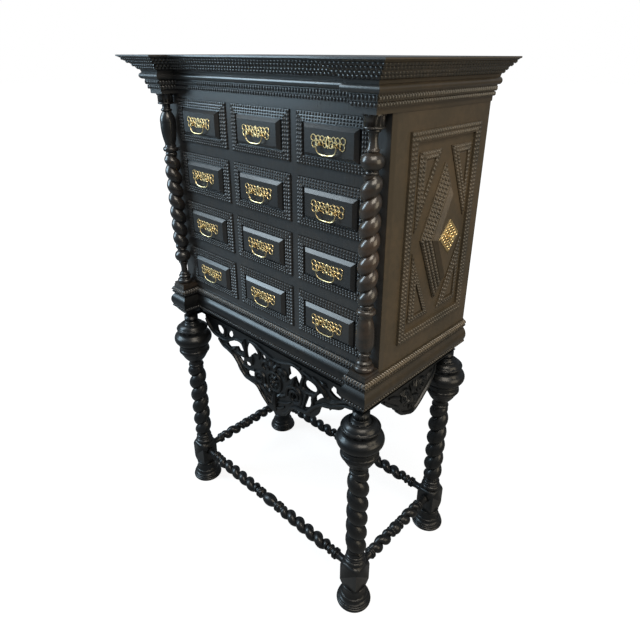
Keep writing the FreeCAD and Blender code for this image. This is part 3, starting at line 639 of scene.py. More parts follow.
# %% Cornice and frieze
cornice_z = torus_box[1].z
cornice_rows = [((0.0185, 0.0085), (0.0245, 0.0143)), ((0.0255, 0.0153), (0.0315, 0.021)),
                ((0.036, 0.0242), (0.0425, 0.0295)), ((0.0438, 0.0305), (0.0508, 0.036))]
frieze_rows = [((0.0046, 0.0125), (0.0046, 0.0222)), ((0.0078, 0.0242), (0.0078, 0.036))]
rows_round_plan("cornice_ripples", cornice_rows, cornice_z, rib_height=0.003, pitch=0.0112,
                material=ripple_wood)
rows_round_plan("frieze_ripples", frieze_rows, frieze_z, rib_height=0.0028, pitch=0.0095,
                material=ripple_wood)

# %% [markdown]
# ## A hollow under the cornice
# Between the ribs and the torus the moulding is scraped hollow, so that this strip faces down and
# stays dark. A curve with a bevel would round the mitres, so its outline is carried round the plan,
# one copy at each corner, and skinned.

# %% The hollow


def moulding_round_plan(name, outline, material):
    """The outline is a list of (out, height), and becomes a closed bar round the plan."""
    vertices = [corner_point(index, out, height)
                for index in range(len(corners)) for out, height in outline]
    count = len(outline)
    faces = [tuple(range(count)), tuple(range(len(vertices) - count, len(vertices)))]
    for index in range(len(corners) - 1):
        for step in range(count):
            after = (step + 1) % count
            faces.append((index * count + step, index * count + after,
                          (index + 1) * count + after, (index + 1) * count + step))
    mesh = bpy.data.meshes.new(name)
    mesh.from_pydata(vertices, [], faces)
    piece = bpy.data.objects.new(name, mesh)
    bpy.context.collection.objects.link(piece)
    close(piece)
    smoothed(finished(piece, material))
    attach(piece, "cabinet")
    print(name, len(piece.data.polygons), "faces")
    return piece


hollow_low, hollow_high = 0.0139, 0.0179
hollow_back = 0.013
hollow_height = 0.0073
hollow_step = math.radians(15)
hollow_points = 7
hollow_arc = [(hollow_low + (hollow_high - hollow_low) * (1 - math.cos(turn)),
               cornice_z + hollow_height * math.sin(turn))
              for turn in [hollow_step * step for step in range(hollow_points)]]
hollow_rear = [(hollow_back, cornice_z + hollow_height), (hollow_back, cornice_z)]
moulding_round_plan("cornice_hollow", hollow_arc + hollow_rear, front_wood)

# %% [markdown]
# ## Leaning rows on the base and the stand
# Two rows on the base and a thin one under the stand's bead lean back, so that they catch the light
# from above. A rib laid on the upright face would stay dark, so each row gets its own wedge first.

# %% Wedges and their ribs
base_z = base_box[0].z
stand_z = stand_box[1].z
wedge_back = -0.002
leaning_rows = [
    ("stand", stand_z, (0.0085, -0.0505), (0.0035, -0.0445), ripple_wood),
    ("base_low", base_z, (0.006, 0.0006), (0.0014, 0.0064), shaded_base_wood),
    # The upper row on the base takes the paler wood: a painted highlight.
    ("base_high", base_z, (0.007, 0.0092), (0.0006, 0.0186), highlit_row_wood),
]
for name, foot_z, low_edge, high_edge, material in leaning_rows:
    outline = [(wedge_back, low_edge[1]), low_edge, high_edge, (wedge_back, high_edge[1])]
    moulding_round_plan(name + "_wedge", [(out, foot_z + rise) for out, rise in outline],
                        shaded_base_wood)
    rows_round_plan(name + "_ripples", [(low_edge, high_edge)], foot_z, rib_height=0.0034,
                    pitch=0.0088, material=material)

# %% [markdown]
# ## Ripple frames
# The drawer fronts and the side panels carry mitred frames of the same moulding. Each row lies
# between two insets of one outline, so the mitres of a rectangle, a triangle and a diamond all come
# from one rule, and no corner has to be cut by hand.

# %% Rows inside an outline


def inset(points, distance):
    """A convex outline, listed counter-clockwise, moved inwards by a distance."""
    lines = []
    for (u0, v0), (u1, v1) in zip(points, points[1:] + points[:1]):
        length = math.hypot(u1 - u0, v1 - v0)
        du = (u1 - u0) / length
        dv = (v1 - v0) / length
        lines.append((u0 - distance * dv, v0 + distance * du, du, dv))
    result = []
    for (u0, v0, du0, dv0), (u1, v1, du1, dv1) in zip(lines[-1:] + lines[:-1], lines):
        cross = du0 * dv1 - dv0 * du1
        along = ((u1 - u0) * dv1 - (v1 - v0) * du1) / cross
        result.append((u0 + along * du0, v0 + along * dv0))
    return result


def rows_inside(points, place, rows, rib_height, pitch):
    """Each row is (inset, rise) of its outer edge and of its inner edge."""
    pieces = []
    face = place(0, 0, 1) - place(0, 0, 0)
    outline = [place(u, v, 0) for u, v in points]
    for (outer_inset, outer_rise), (inner_inset, inner_rise) in rows:
        near = [place(u, v, outer_rise) for u, v in inset(points, outer_inset)]
        far = [place(u, v, inner_rise) for u, v in inset(points, inner_inset)]
        for index in range(len(points)):
            after = (index + 1) % len(points)
            pieces.append(rib_row(near[index], near[after], far[index], far[after], face,
                                  rib_height, pitch, (outline[index] + outline[after]) / 2))
    return pieces


def rectangle(low_u, low_v, high_u, high_v):
    return [(low_u, low_v), (high_u, low_v), (high_u, high_v), (low_u, high_v)]


print("outlines ready")

# %% [markdown]
# ## Frames of the drawers
# All twelve drawers carry the same moulding. So one frame is made on the first drawer and copied to
# the others by the distance between their boxes.

# %% Drawer frames
panel_rise = 0.012
drawer_rib_height = 0.0029
drawer_rib_pitch = 0.0092
first_low, first_high = (Vector(corner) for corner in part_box("drawer_r1c1"))
front_y = first_low.y + panel_rise
drawer_outline = rectangle(first_low.x, first_low.z, first_high.x, first_high.z)
frame_rows = [((0.0004, 0.0014), (0.0078, 0.0024)), ((0.0088, 0.0026), (0.0144, 0.0034)),
              ((0.0152, 0.0034), (0.021, 0.0042))]


def on_front(u, v, rise):
    return Vector((u, front_y - rise, v))


def drawer_shift(key):
    return Vector(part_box("drawer_" + key)[0]) - first_low


first_frame = joined(rows_inside(drawer_outline, on_front, frame_rows, drawer_rib_height,
                                 drawer_rib_pitch), "drawer_ripples_r1c1")
smoothed(finished(first_frame, front_wood), rib_angle)
for key in drawer_keys:
    frame_piece = first_frame
    if key != "r1c1":
        frame_piece = copied(first_frame, "drawer_ripples_" + key, drawer_shift(key))
    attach(frame_piece, "drawer_" + key)
print("drawer frame", len(first_frame.data.polygons), "faces")

# %% [markdown]
# ## Side panels
# Each flank has a frame, a triangle in each of its corners and a raised diamond. The frame's node
# carries the plain mouldings, and the ribs follow their slopes. The right side is made first and
# mirrored, with its faces turned outwards again, because a mirror turns them inside out.

# %% Side panels
panel_low, panel_high = (Vector(corner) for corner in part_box("side_panel_mouldings"))
middle_y = (panel_low.y + panel_high.y) / 2
middle_z = (panel_low.z + panel_high.z) / 2
side_half_width = (panel_high.y - panel_low.y) / 2
side_half_height = (panel_high.z - panel_low.z) / 2
side_band = 0.024
triangle_side_gap = 0.0145
triangle_end_gap = 0.0212
triangle_width_share = 0.402
triangle_height_share = 0.44
diamond_width_share = 0.748
diamond_height_share = 0.829
corner_u = side_half_width - side_band - triangle_side_gap
corner_v = side_half_height - side_band - triangle_end_gap
triangle_u = triangle_width_share * 2 * corner_u
triangle_v = triangle_height_share * 2 * corner_v
diamond_u = diamond_width_share * corner_u
diamond_v = diamond_height_share * corner_v
side_rib_pitch = 0.0098
side_rib_height = 0.003
triangle_rib_height = 0.0028
diamond_rib_height = 0.0032
side_rows = [((0.0008, 0.0058), (0.0112, 0.0058)), ((0.0124, 0.0058), (0.0232, 0.0058))]
triangle_rows = [((0.001, 0.003), (0.008, 0.0052)), ((0.009, 0.0054), (0.0165, 0.0078))]
diamond_rows = [((0.001, 0.0045), (0.0068, 0.0086)), ((0.0076, 0.0094), (0.0136, 0.0136)),
                ((0.0144, 0.0144), (0.0208, 0.019))]


def on_side(u, v, rise):
    return Vector((board_x + rise, middle_y + u, middle_z + v))


side_outline = rectangle(-side_half_width, -side_half_height, side_half_width, side_half_height)
side_pieces = rows_inside(side_outline, on_side, side_rows, side_rib_height, side_rib_pitch)
for sign_u, sign_v in ((1, 1), (-1, 1), (-1, -1), (1, -1)):
    tip = (sign_u * corner_u, sign_v * corner_v)
    points = [tip, (tip[0] - sign_u * triangle_u, tip[1]), (tip[0], tip[1] - sign_v * triangle_v)]
    if sign_u * sign_v < 0:
        points.reverse()
    side_pieces += rows_inside(points, on_side, triangle_rows, triangle_rib_height,
                               side_rib_pitch)
diamond = [(0, -diamond_v), (diamond_u, 0), (0, diamond_v), (-diamond_u, 0)]
side_pieces += rows_inside(diamond, on_side, diamond_rows, diamond_rib_height, side_rib_pitch)
side_ripples = joined(side_pieces, "side_ripples_right")
smoothed(finished(side_ripples, shaded_side_ripple_wood), rib_angle)
left_ripples = copied(side_ripples, "side_ripples_left", flip=(1, 0, 0))
for piece in (side_ripples, left_ripples):
    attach(piece, "cabinet")
print("side ripples", len(side_ripples.data.polygons), "faces")

# %% [markdown]
# ## Barley twists
# A twist is cut with a rasp along a helix, which leaves round lobes and a sharp valley. The frame's
# coil is smoother than that, so it is left out of a copy of its node and made anew. One lobe is an
# arc of a circle beside the axis. The Screw modifier turns it and lifts it by one pitch per turn,
# and two straight cuts give the ends.

# %% One twist on the Z axis
lobe_steps = 12
turn_steps = 24
coil_merge = 0.0002
end_taper = 0.4
end_loss = 0.22


def tapered(coil, length, reach):
    """Draws both ends of a coil in, as a turner rounds them down to meet the next part."""
    for vertex in coil.data.vertices:
        nearest = max(0, min(vertex.co.z, length - vertex.co.z))
        share = min(1, nearest / reach)
        factor = 1 - end_loss * (1 - math.sin(share * math.pi / 2))
        vertex.co.x *= factor
        vertex.co.y *= factor
    return coil


def twist(radius, valley, pitch, length, hand):
    depth = radius - valley
    arc = (pitch ** 2 / 4 + depth ** 2) / (2 * depth)
    points = round(lobe_steps * math.pi / math.asin(pitch / 2 / arc))
    bpy.ops.mesh.primitive_circle_add(vertices=points, radius=arc, rotation=(math.pi / 2, 0, 0))
    lobe = placed(bpy.context.object)
    placed(lobe, Matrix.Translation((radius - arc, 0, -1.5 * pitch)))
    trim(lobe, (valley, 0, 0), (1, 0, 0))
    screw = lobe.modifiers.new("coil", "SCREW")
    screw.angle = hand * 2 * math.pi
    screw.screw_offset = pitch
    screw.iterations = math.ceil(length / pitch) + 2
    screw.steps = turn_steps
    screw.render_steps = turn_steps
    screw.use_merge_vertices = False
    finish_modifiers(lobe)
    edit(lobe)
    bpy.ops.mesh.remove_doubles(threshold=coil_merge)
    done()
    trim(lobe, (0, 0, 0), (0, 0, 1))
    trim(lobe, (0, 0, length), (0, 0, -1))
    return tapered(close(lobe), length, end_taper * pitch)


print("twists of", lobe_steps, "by", turn_steps, "steps")

# %% The loose parts of a node
node_merge = 0.00001


def loose_parts(name):
    """A merged copy of a node in its loose parts, each with its lowest and highest corner."""
    source = nodes[name]
    twin = source.copy()
    twin.data = source.data.copy()
    bpy.context.collection.objects.link(twin)
    alone(twin)
    bpy.ops.object.parent_clear(type="CLEAR_KEEP_TRANSFORM")
    placed(twin)
    edit(twin)
    bpy.ops.mesh.remove_doubles(threshold=node_merge)
    bpy.ops.mesh.separate(type="LOOSE")
    done()
    parts = []
    for part in list(bpy.context.selected_objects):
        box = [part.matrix_world @ Vector(corner) for corner in part.bound_box]
        lowest = Vector([min(point[axis] for point in box) for axis in range(3)])
        highest = Vector([max(point[axis] for point in box) for axis in range(3)])
        parts.append((part, lowest, highest))
    return parts


# %% [markdown]
# ## Columns and legs
# The coil is the longest loose part of a column or a leg. It makes way for a real twist,
# left-handed on one side and right-handed on the other. Turning also leaves thin fillets round a
# bulb where the chisel stopped, and a ring on each of those lines catches the light as they do.

# %% Columns and legs
fillet_wire = 0.0019


def fillet(centre, radius, height):
    bpy.ops.mesh.primitive_torus_add(major_segments=48, minor_segments=8, major_radius=radius,
                                     minor_radius=fillet_wire)
    ring = placed(bpy.context.object)
    return placed(ring, Matrix.Translation((centre.x, centre.y, height)))


def upright(name, valley_share, pitch, hand, material, swell=1.0, fillets=()):
    """The fillets are (radius, height) in shares of the longest turning beside the coil."""
    parts = sorted(loose_parts(name), key=lambda entry: entry[2].z - entry[1].z)
    coil, lowest, highest = parts.pop()
    centre = (lowest + highest) / 2
    radius = swell * (highest.x - lowest.x) / 2
    bpy.data.objects.remove(coil, do_unlink=True)
    turned = twist(radius, valley_share * radius, pitch, highest.z - lowest.z, hand)
    placed(turned, Matrix.Translation((centre.x, centre.y, lowest.z)))
    _, low_corner, high_corner = parts[-1]
    size = high_corner - low_corner
    rings = [fillet(centre, radius_share * size.x / 2, low_corner.z + height_share * size.z)
             for radius_share, height_share in fillets]
    piece = finished(joined([part for part, _, _ in parts] + [turned] + rings, name + "_turned"),
                     material)
    smoothed(piece)
    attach(piece, "cabinet")
    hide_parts(name)
    return piece


column_valley_share = 0.6
column_pitch = 0.0416
leg_valley_share = 0.62
leg_pitch = 0.0536
leg_swell = 1.13
bulb_fillets = [(0.79, 0.36), (0.79, 0.5), (0.79, 0.85), (0.5, 0.935)]
upright("column_right", column_valley_share, column_pitch, 1, turned_wood)
# The left column takes the painted shade copy of the turned wood.
upright("column_left", column_valley_share, column_pitch, -1, shaded_turned_wood)
for end, side, hand in (("front", "right", -1), ("front", "left", 1), ("rear", "right", 1),
                        ("rear", "left", -1)):
    upright("leg_" + end + "_" + side, leg_valley_share, leg_pitch, hand, shaded_stand_wood,
            swell=leg_swell, fillets=bulb_fillets)
print("columns and legs turned")

# %% [markdown]
# ## Stretchers
# Each stretcher has two twists with a turned middle between them. Their node holds all four, so its
# coils are told from the other parts by their length, and each is replaced where it lay.

# %% Stretchers
long_coil = (0.18, 0.25)
short_coil = (0.08, 0.1)
stretcher_swell = 1.14
stretcher_valley_share = 0.5
stretcher_pitch = 0.0404
stretcher_pieces = []
coils = 0
for part, lowest, highest in loose_parts("stretchers"):
    size = highest - lowest
    centre = (lowest + highest) / 2
    lengthwise = size.x > size.y
    length = max(size.x, size.y)
    low_limit, high_limit = long_coil if lengthwise else short_coil
    if not low_limit < length < high_limit:
        stretcher_pieces.append(part)
        continue
    bpy.data.objects.remove(part, do_unlink=True)
    turned = twist(stretcher_swell * size.z / 2, stretcher_valley_share * size.z / 2,
                   stretcher_pitch, length, 1)
    if lengthwise:
        turn = Matrix.Rotation(math.pi / 2, 4, "Y")
        start = centre - Vector((length / 2, 0, 0))
    else:
        turn = Matrix.Rotation(-math.pi / 2, 4, "X")
        start = centre - Vector((0, length / 2, 0))
    stretcher_pieces.append(placed(turned, Matrix.Translation(start) @ turn))
    coils += 1
stretchers = smoothed(finished(joined(stretcher_pieces, "stretchers_turned"), shaded_stand_wood))
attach(stretchers, "cabinet")
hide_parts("stretchers")
print("coils on the stretchers", coils)

# %% [markdown]
# ## Carving on the aprons
# The aprons are carved in low relief: strands that run between the piercings, volutes, leaves and a
# boss in the middle. Sculpting them would take a window and a steady hand. Here each strand is a
# curve along its ridge, with a round section that swells and tapers, and the curve is turned into a
# mesh that lies half sunk in the board.

# %% Rods and strands
relief_stretch = 1.15
strand_unit = 0.00115
curve_merge = 0.00005


def rod(points, place, unit, closed=False):
    """Points are (across, up, radius), with the radius in the given unit."""
    curve = bpy.data.curves.new("strand", "CURVE")
    curve.dimensions = "3D"
    curve.bevel_depth = unit
    curve.bevel_resolution = 2
    curve.resolution_u = 5
    curve.use_fill_caps = not closed
    spline = curve.splines.new("BEZIER")
    spline.use_cyclic_u = closed
    spline.bezier_points.add(len(points) - 1)
    for knot, (u, v, radius) in zip(spline.bezier_points, points):
        knot.co = place(u, v)
        knot.radius = radius
        knot.handle_left_type = "AUTO"
        knot.handle_right_type = "AUTO"
    piece = bpy.data.objects.new("strand", curve)
    bpy.context.collection.objects.link(piece)
    alone(piece)
    bpy.ops.object.convert(target="MESH")
    placed(piece)
    edit(piece)
    bpy.ops.mesh.remove_doubles(threshold=curve_merge)
    done()
    return close(piece)


def strand(points, place, out, closed=False):
    """A rod on the board, stretched a little along the way out of its face."""
    base = place(0, 0).dot(out)
    stretch = (Matrix.Translation(out * base * (1 - relief_stretch))
               @ Matrix.Scale(relief_stretch, 4, out))
    return placed(rod(points, place, strand_unit, closed), stretch)


print("strands swell in steps of", strand_unit)

# %% Volutes and leaves
knots_per_turn = 8
spiral_loss = 0.86
spiral_thinning = 0.25
bead_swell = 1.3
leaf_root = 0.5
leaf_tip = 0.2


def volute(middle, reach, turns, start, hand, radius):
    """A spiral that winds inward and ends in a bead."""
    count = round(turns * knots_per_turn)
    points = []
    for index in range(count + 1):
        share = index / count
        angle = math.radians(start) + hand * 2 * math.pi * turns * share
        size = 1 - spiral_loss * share
        points.append((middle[0] + reach[0] * size * math.cos(angle),
                       middle[1] + reach[1] * size * math.sin(angle),
                       radius * (1 - spiral_thinning * share)))
    points.append((middle[0], middle[1], radius * bead_swell))
    return points


def leaf(root, tip, radius):
    middle = [(near + far) / 2 for near, far in zip(root, tip)]
    return [(root[0], root[1], radius * leaf_root), (middle[0], middle[1], radius),
            (tip[0], tip[1], radius * leaf_tip)]


def mirrored_points(points):
    return [(-u, v, radius) for u, v, radius in points]


def carved(strands, place, out):
    return [strand(points, place, out) for points in strands]


print("a volute has", knots_per_turn, "knots in a turn")

# %% [markdown]
# ## The front apron
# The strands are listed as a carver would draw them on the board: across in shares of its half
# width, up in shares of its height, and the thickness in units of the chisel. The middle is the
# same on both sides and is drawn once, and the scrolls to the left and right differ, as they do on
# the real piece.

# %% The face of the front apron
apron_low, apron_high = (Vector(corner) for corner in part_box("front_apron"))
apron_width = apron_high.x
apron_drop = apron_high.z - apron_low.z


def on_apron(u, v):
    return Vector((u * apron_width, apron_low.y, apron_low.z + v * apron_drop))


print("apron", round(2 * apron_width, 3), "wide and", round(apron_drop, 3), "deep")

# %% Strands near the middle and on both ends
both_sides = [
    [(0.0, 0.86, 4), (0.07, 0.875, 6), (0.14, 0.9, 6), (0.23, 0.945, 5), (0.33, 0.94, 4)],
    [(0.02, 0.2, 3), (0.09, 0.25, 5), (0.17, 0.3, 5), (0.21, 0.35, 2)],
    [(0.02, 0.11, 3), (0.07, 0.14, 5), (0.12, 0.2, 3)],
    [(0.04, 0.74, 4), (0.1, 0.77, 6), (0.15, 0.73, 6), (0.16, 0.67, 5), (0.12, 0.62, 3)],
    [(0.06, 0.66, 3), (0.09, 0.7, 5), (0.12, 0.68, 3)],
    leaf((0.06, 0.33), (0.15, 0.42), 8),
    leaf((0.03, 0.28), (0.08, 0.38), 7),
    leaf((0.02, 0.8), (0.09, 0.83), 6),
]
right_side = [
    [(0.98, 0.88, 4), (0.9, 0.8, 5), (0.81, 0.765, 5), (0.72, 0.69, 6), (0.65, 0.63, 6),
     (0.565, 0.585, 6), (0.475, 0.465, 6), (0.405, 0.35, 6), (0.33, 0.325, 6), (0.24, 0.29, 5),
     (0.17, 0.17, 5), (0.1, 0.07, 4)],
    [(0.47, 0.92, 4), (0.54, 0.87, 6), (0.6, 0.79, 7), (0.65, 0.72, 7), (0.71, 0.73, 6),
     (0.77, 0.79, 5), (0.84, 0.83, 3)],
    [(0.36, 0.92, 4), (0.45, 0.885, 5.5), (0.53, 0.83, 5.5), (0.54, 0.775, 5), (0.5, 0.68, 5),
     (0.47, 0.6, 5), (0.475, 0.5, 4)],
    [(0.38, 0.88, 5), (0.355, 0.8, 5.5), (0.345, 0.7, 5.5), (0.38, 0.655, 6), (0.44, 0.66, 5),
     (0.49, 0.68, 4)],
    [(0.22, 0.58, 4), (0.24, 0.67, 8), (0.255, 0.76, 3)],
    [(0.4, 0.62, 4), (0.385, 0.55, 5), (0.365, 0.45, 5), (0.35, 0.37, 4)],
    [(0.88, 0.95, 3), (0.83, 0.9, 5), (0.84, 0.84, 4)],
    volute((0.26, 0.48), (0.105, 0.15), 2, 200, -1, 6),
    leaf((0.56, 0.93), (0.64, 0.88), 6),
]
left_side = [
    [(-0.99, 0.93, 4), (-0.93, 0.83, 6), (-0.86, 0.765, 6), (-0.77, 0.745, 6), (-0.68, 0.745, 5),
     (-0.6, 0.8, 5), (-0.52, 0.855, 5), (-0.42, 0.86, 4)],
    [(-0.69, 0.95, 4), (-0.685, 0.86, 5), (-0.7, 0.79, 4)],
    [(-0.4, 0.93, 4), (-0.39, 0.84, 5), (-0.39, 0.74, 5), (-0.4, 0.66, 5), (-0.45, 0.645, 5),
     (-0.5, 0.655, 4)],
    [(-0.61, 0.64, 5), (-0.56, 0.68, 6), (-0.53, 0.72, 3)],
    [(-0.8, 0.7, 4), (-0.73, 0.63, 5), (-0.65, 0.61, 6), (-0.565, 0.56, 6), (-0.48, 0.44, 6),
     (-0.41, 0.33, 6), (-0.33, 0.315, 6), (-0.25, 0.29, 5), (-0.17, 0.17, 5), (-0.1, 0.07, 4)],
    [(-0.51, 0.61, 4), (-0.44, 0.49, 5), (-0.39, 0.4, 4)],
    [(-0.43, 0.5, 4), (-0.35, 0.49, 5), (-0.27, 0.51, 4)],
    [(-0.2, 0.93, 4), (-0.19, 0.84, 5), (-0.2, 0.74, 4)],
    leaf((-0.3, 0.58), (-0.3, 0.74), 8),
    volute((-0.2, 0.44), (0.075, 0.11), 1.75, -20, 1, 5.5),
]
print("strands", 2 * len(both_sides) + len(right_side) + len(left_side))

# %% The boss in the middle, and the carving in one piece
boss_v = 0.52
petal_count = 8
boss_reach = (0.085, 0.14)
petal_root = (0.016, 0.026)
petal_tip = (0.068, 0.112)


def round_boss(reach, turn):
    return (reach[0] * math.cos(turn), boss_v + reach[1] * math.sin(turn))


boss_turns = [math.radians(45 * step) for step in range(petal_count)]
petal_turns = [math.radians(45 * step + 22.5) for step in range(petal_count)]
boss = [(*round_boss(boss_reach, turn), 5) for turn in boss_turns]
petals = [leaf(round_boss(petal_root, turn), round_boss(petal_tip, turn), 6)
          for turn in petal_turns]
crest = [leaf((0.0, 0.68), (0.06 * side, 0.84), 9) for side in (-1, 0, 1)]
drop = [leaf((0.0, 0.36), (0.0, 0.04), 11), leaf((0.0, 0.52), (0.012, 0.54), 9)]
forward = Vector((0, -1, 0))
strands = (both_sides + [mirrored_points(points) for points in both_sides] + right_side + left_side
           + petals + crest + drop)
carving = [strand(boss, on_apron, forward, closed=True)] + carved(strands, on_apron, forward)
front_carving = smoothed(finished(joined(carving, "front_apron_carving"), shaded_stand_wood))
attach(front_carving, "cabinet")
print("front carving", len(front_carving.data.polygons), "faces")

# %% [markdown]
# ## Side aprons
# The side aprons have two volutes over a fan of leaves. Both are alike, so the right one is carved
# and mirrored.

# %% Side aprons
side_low, side_high = (Vector(corner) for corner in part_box("side_aprons"))
side_middle = (side_low.y + side_high.y) / 2
side_reach = (side_high.y - side_low.y) / 2
side_drop = side_high.z - side_low.z


def on_side_apron(u, v):
    return Vector((side_high.x, side_middle + u * side_reach, side_low.z + v * side_drop))


side_strands = [
    [(-0.95, 0.9, 3), (-0.62, 0.61, 4), (-0.45, 0.47, 5), (-0.4, 0.35, 5), (-0.3, 0.24, 5),
     (-0.1, 0.13, 5), (0.15, 0.05, 5), (0.33, 0.13, 5), (0.54, 0.3, 5), (0.72, 0.46, 5),
     (0.92, 0.75, 4), (0.96, 0.94, 3)],
    volute((-0.22, 0.66), (0.17, 0.19), 2, 150, -1, 5),
    volute((0.4, 0.66), (0.17, 0.19), 2, 30, 1, 5),
    [(-0.78, 0.9, 3), (-0.6, 0.83, 5), (-0.42, 0.72, 4)],
    [(0.84, 0.86, 3), (0.72, 0.8, 5), (0.6, 0.68, 4)],
]
for tip in ((-0.2, 0.36), (-0.02, 0.2), (0.12, 0.16), (0.26, 0.22), (0.4, 0.36)):
    side_strands.append(leaf((0.08, 0.52), tip, 7))
for tip in ((-0.04, 0.9), (0.09, 0.94), (0.22, 0.9)):
    side_strands.append(leaf((0.09, 0.6), tip, 7))
right_carving = joined(carved(side_strands, on_side_apron, Vector((1, 0, 0))),
                       "side_apron_carving_right")
smoothed(finished(right_carving, shaded_stand_wood))
left_carving = copied(right_carving, "side_apron_carving_left", flip=(1, 0, 0))
for piece in (right_carving, left_carving):
    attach(piece, "cabinet")
print("side carving", len(right_carving.data.polygons), "faces")

# %% [markdown]
# ## Pierced rosettes on the sides
# The brass diamond is sawn out so far that only a rim and a net of rings is left. Cutting all the
# holes into the plate would give thin broken edges, so the net is built from what stays: four bars
# for the rim, and rings at the places of a tilted grid.

# %% One rosette
thin_plate = 0.003
rim_width = 0.0035
rim_share = 0.48
net_wire = 0.0017
net_ring_share = 0.118
net_pitch_share = 1 / 5.6


def rosette_bar(middle, half_width, half, thickness, sign_u, sign_v):
    slant = math.atan2(half, half_width)
    bpy.ops.mesh.primitive_cube_add(size=1)
    bar = placed(bpy.context.object,
                 Matrix.Diagonal((thickness, math.hypot(half, half_width), rim_width, 1)))
    return placed(bar, Matrix.Translation((middle.x, middle.y + sign_u * half_width * rim_share,
                                           middle.z + sign_v * half * rim_share))
                  @ Matrix.Rotation(-sign_u * sign_v * slant, 4, "X"))


def rosette_ring(middle, half_width, half, row, column):
    bpy.ops.mesh.primitive_torus_add(major_segments=14, minor_segments=6,
                                     major_radius=half_width * net_ring_share,
                                     minor_radius=net_wire, rotation=(0, math.pi / 2, 0))
    ring = placed(bpy.context.object)
    across = (row + column) * half_width * net_pitch_share
    up = (row - column) * half * net_pitch_share
    return placed(ring, Matrix.Translation((middle.x, middle.y + across, middle.z + up)))


print("rosette bars", rim_width, "wide")

# %% Both rosettes
rosette_parts = loose_parts("side_rosettes")
plates = [entry for entry in rosette_parts if entry[2].x - entry[1].x < thin_plate]
knobs = [part for part, lowest, highest in rosette_parts if highest.x - lowest.x >= thin_plate]
net = []
for plate, lowest, highest in plates:
    middle = (lowest + highest) / 2
    half = (highest.z - lowest.z) / 2
    half_width = (highest.y - lowest.y) / 2
    bpy.data.objects.remove(plate, do_unlink=True)
    for sign_u, sign_v in ((1, 1), (-1, 1), (-1, -1), (1, -1)):
        net.append(rosette_bar(middle, half_width, half, highest.x - lowest.x, sign_u, sign_v))
    for row in range(-2, 3):
        for column in range(-2, 3):
            if (row, column) != (0, 0):
                net.append(rosette_ring(middle, half_width, half, row, column))
rosettes = smoothed(finished(joined(knobs + net, "side_rosettes_pierced"), brass))
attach(rosettes, "cabinet")
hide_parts("side_rosettes")
print("rosettes", len(plates), "plates and", len(knobs), "knobs")

# %% [markdown]
# ## Openwork pulls
# The plate of a pull is cast as a row of loops round a small shield. Each loop is a ring, and
# neighbours touch. The plate of the frame makes way for them, and its posts and the lock stay. One
# pull is made on the first drawer and copied to the others, since one mould serves for all twelve.

# %% One pull
millimetre = 0.001
loops = [(6.5, 7.0, 4.2), (17.0, 8.0, 5.4), (29.0, 7.6, 5.6), (43.5, 7.5, 7.0), (9.5, -6.5, 4.8),
         (20.0, -2.5, 5.0), (31.5, -3.2, 5.2), (41.5, -6.0, 7.2)]
loop_wire = 0.0012
shield_wire = 1.3 * loop_wire
shield_radius = 0.0044
shield_up = 0.001
shield_stretch = 2.3
plate_width = 0.09


def upright_ring(radius, wire):
    bpy.ops.mesh.primitive_torus_add(major_segments=18, minor_segments=6, major_radius=radius,
                                     minor_radius=wire, rotation=(math.pi / 2, 0, 0))
    return placed(bpy.context.object)


made = []
for part, lowest, highest in loose_parts("pull_r1c1"):
    if highest.x - lowest.x < plate_width:
        made.append(part)
        continue
    middle = (lowest + highest) / 2
    bpy.data.objects.remove(part, do_unlink=True)
for side in (-1, 1):
    for across, up, radius in loops:
        shift = Vector((side * across, 0, up)) * millimetre
        loop = upright_ring(radius * millimetre, loop_wire)
        made.append(placed(loop, Matrix.Translation(middle + shift)))
shield = upright_ring(shield_radius, shield_wire)
made.append(placed(shield, Matrix.Translation(middle + Vector((0, 0, shield_up)))
                   @ Matrix.Diagonal((1, 1, shield_stretch, 1))))
first_pull = smoothed(finished(joined(made, "pull_openwork_r1c1"), brass))
print("pull", len(first_pull.data.polygons), "faces")

# %% Pulls on all drawers
for key in drawer_keys:
    pull = first_pull
    if key != "r1c1":
        pull = copied(first_pull, "pull_openwork_" + key, drawer_shift(key))
    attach(pull, "drawer_" + key)
    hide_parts("pull_" + key)
print("pulls", len(drawer_keys))

# %% [markdown]
# ## Bails
# A bail is bent from a round rod, and its ends are the pins that turn in the posts. The same rod
# that carves a strand bends a bail, this time not stretched. It rides on the bail's own body, so
# that it swings on its hinge.

# %% Bails
bail_rod_share = 0.86
bail_low, bail_high = (Vector(corner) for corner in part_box("bail_r1c1"))
bail_middle = (bail_low + bail_high) / 2
bail_rod = (bail_high.y - bail_low.y) / 2
bail_reach = (bail_high.x - bail_low.x) / 2 - bail_rod
bail_drop = bail_high.z - bail_low.z - 2 * bail_rod
bail_shares = [(0.78, 0.0), (0.89, 0.01), (0.985, 0.07), (1.0, 0.2), (0.98, 0.45), (0.87, 0.72),
               (0.68, 0.9), (0.42, 0.98), (0.0, 1.0)]
path = [(across * bail_reach, -drop_share * bail_drop, 1)
        for across, drop_share in bail_shares]
path += [(-across, up, radius) for across, up, radius in reversed(path[:-1])]


def on_bail(across, up):
    return bail_middle + Vector((across, 0, up + bail_drop / 2))


first_bail = rod(path, on_bail, bail_rod * bail_rod_share)
smoothed(finished(joined([first_bail], "bail_round_r1c1"), brass))
for key in drawer_keys:
    bail = first_bail
    if key != "r1c1":
        bail = copied(first_bail, "bail_round_" + key, drawer_shift(key))
    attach(bail, "bail_" + key)
    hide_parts("bail_" + key)
print("bail", len(first_bail.data.polygons), "faces")

# %% [markdown]
# ## The studio
# A pale floor and a white surround that only the camera sees as pure white. A bright world would
# wash the black wood out, so its light is low. A tall cool lamp stands to the left of the front,
# where the bevels mirror it, and a warm one shines on the right side, which gives the bluish front
# and the browner flank of the real piece.

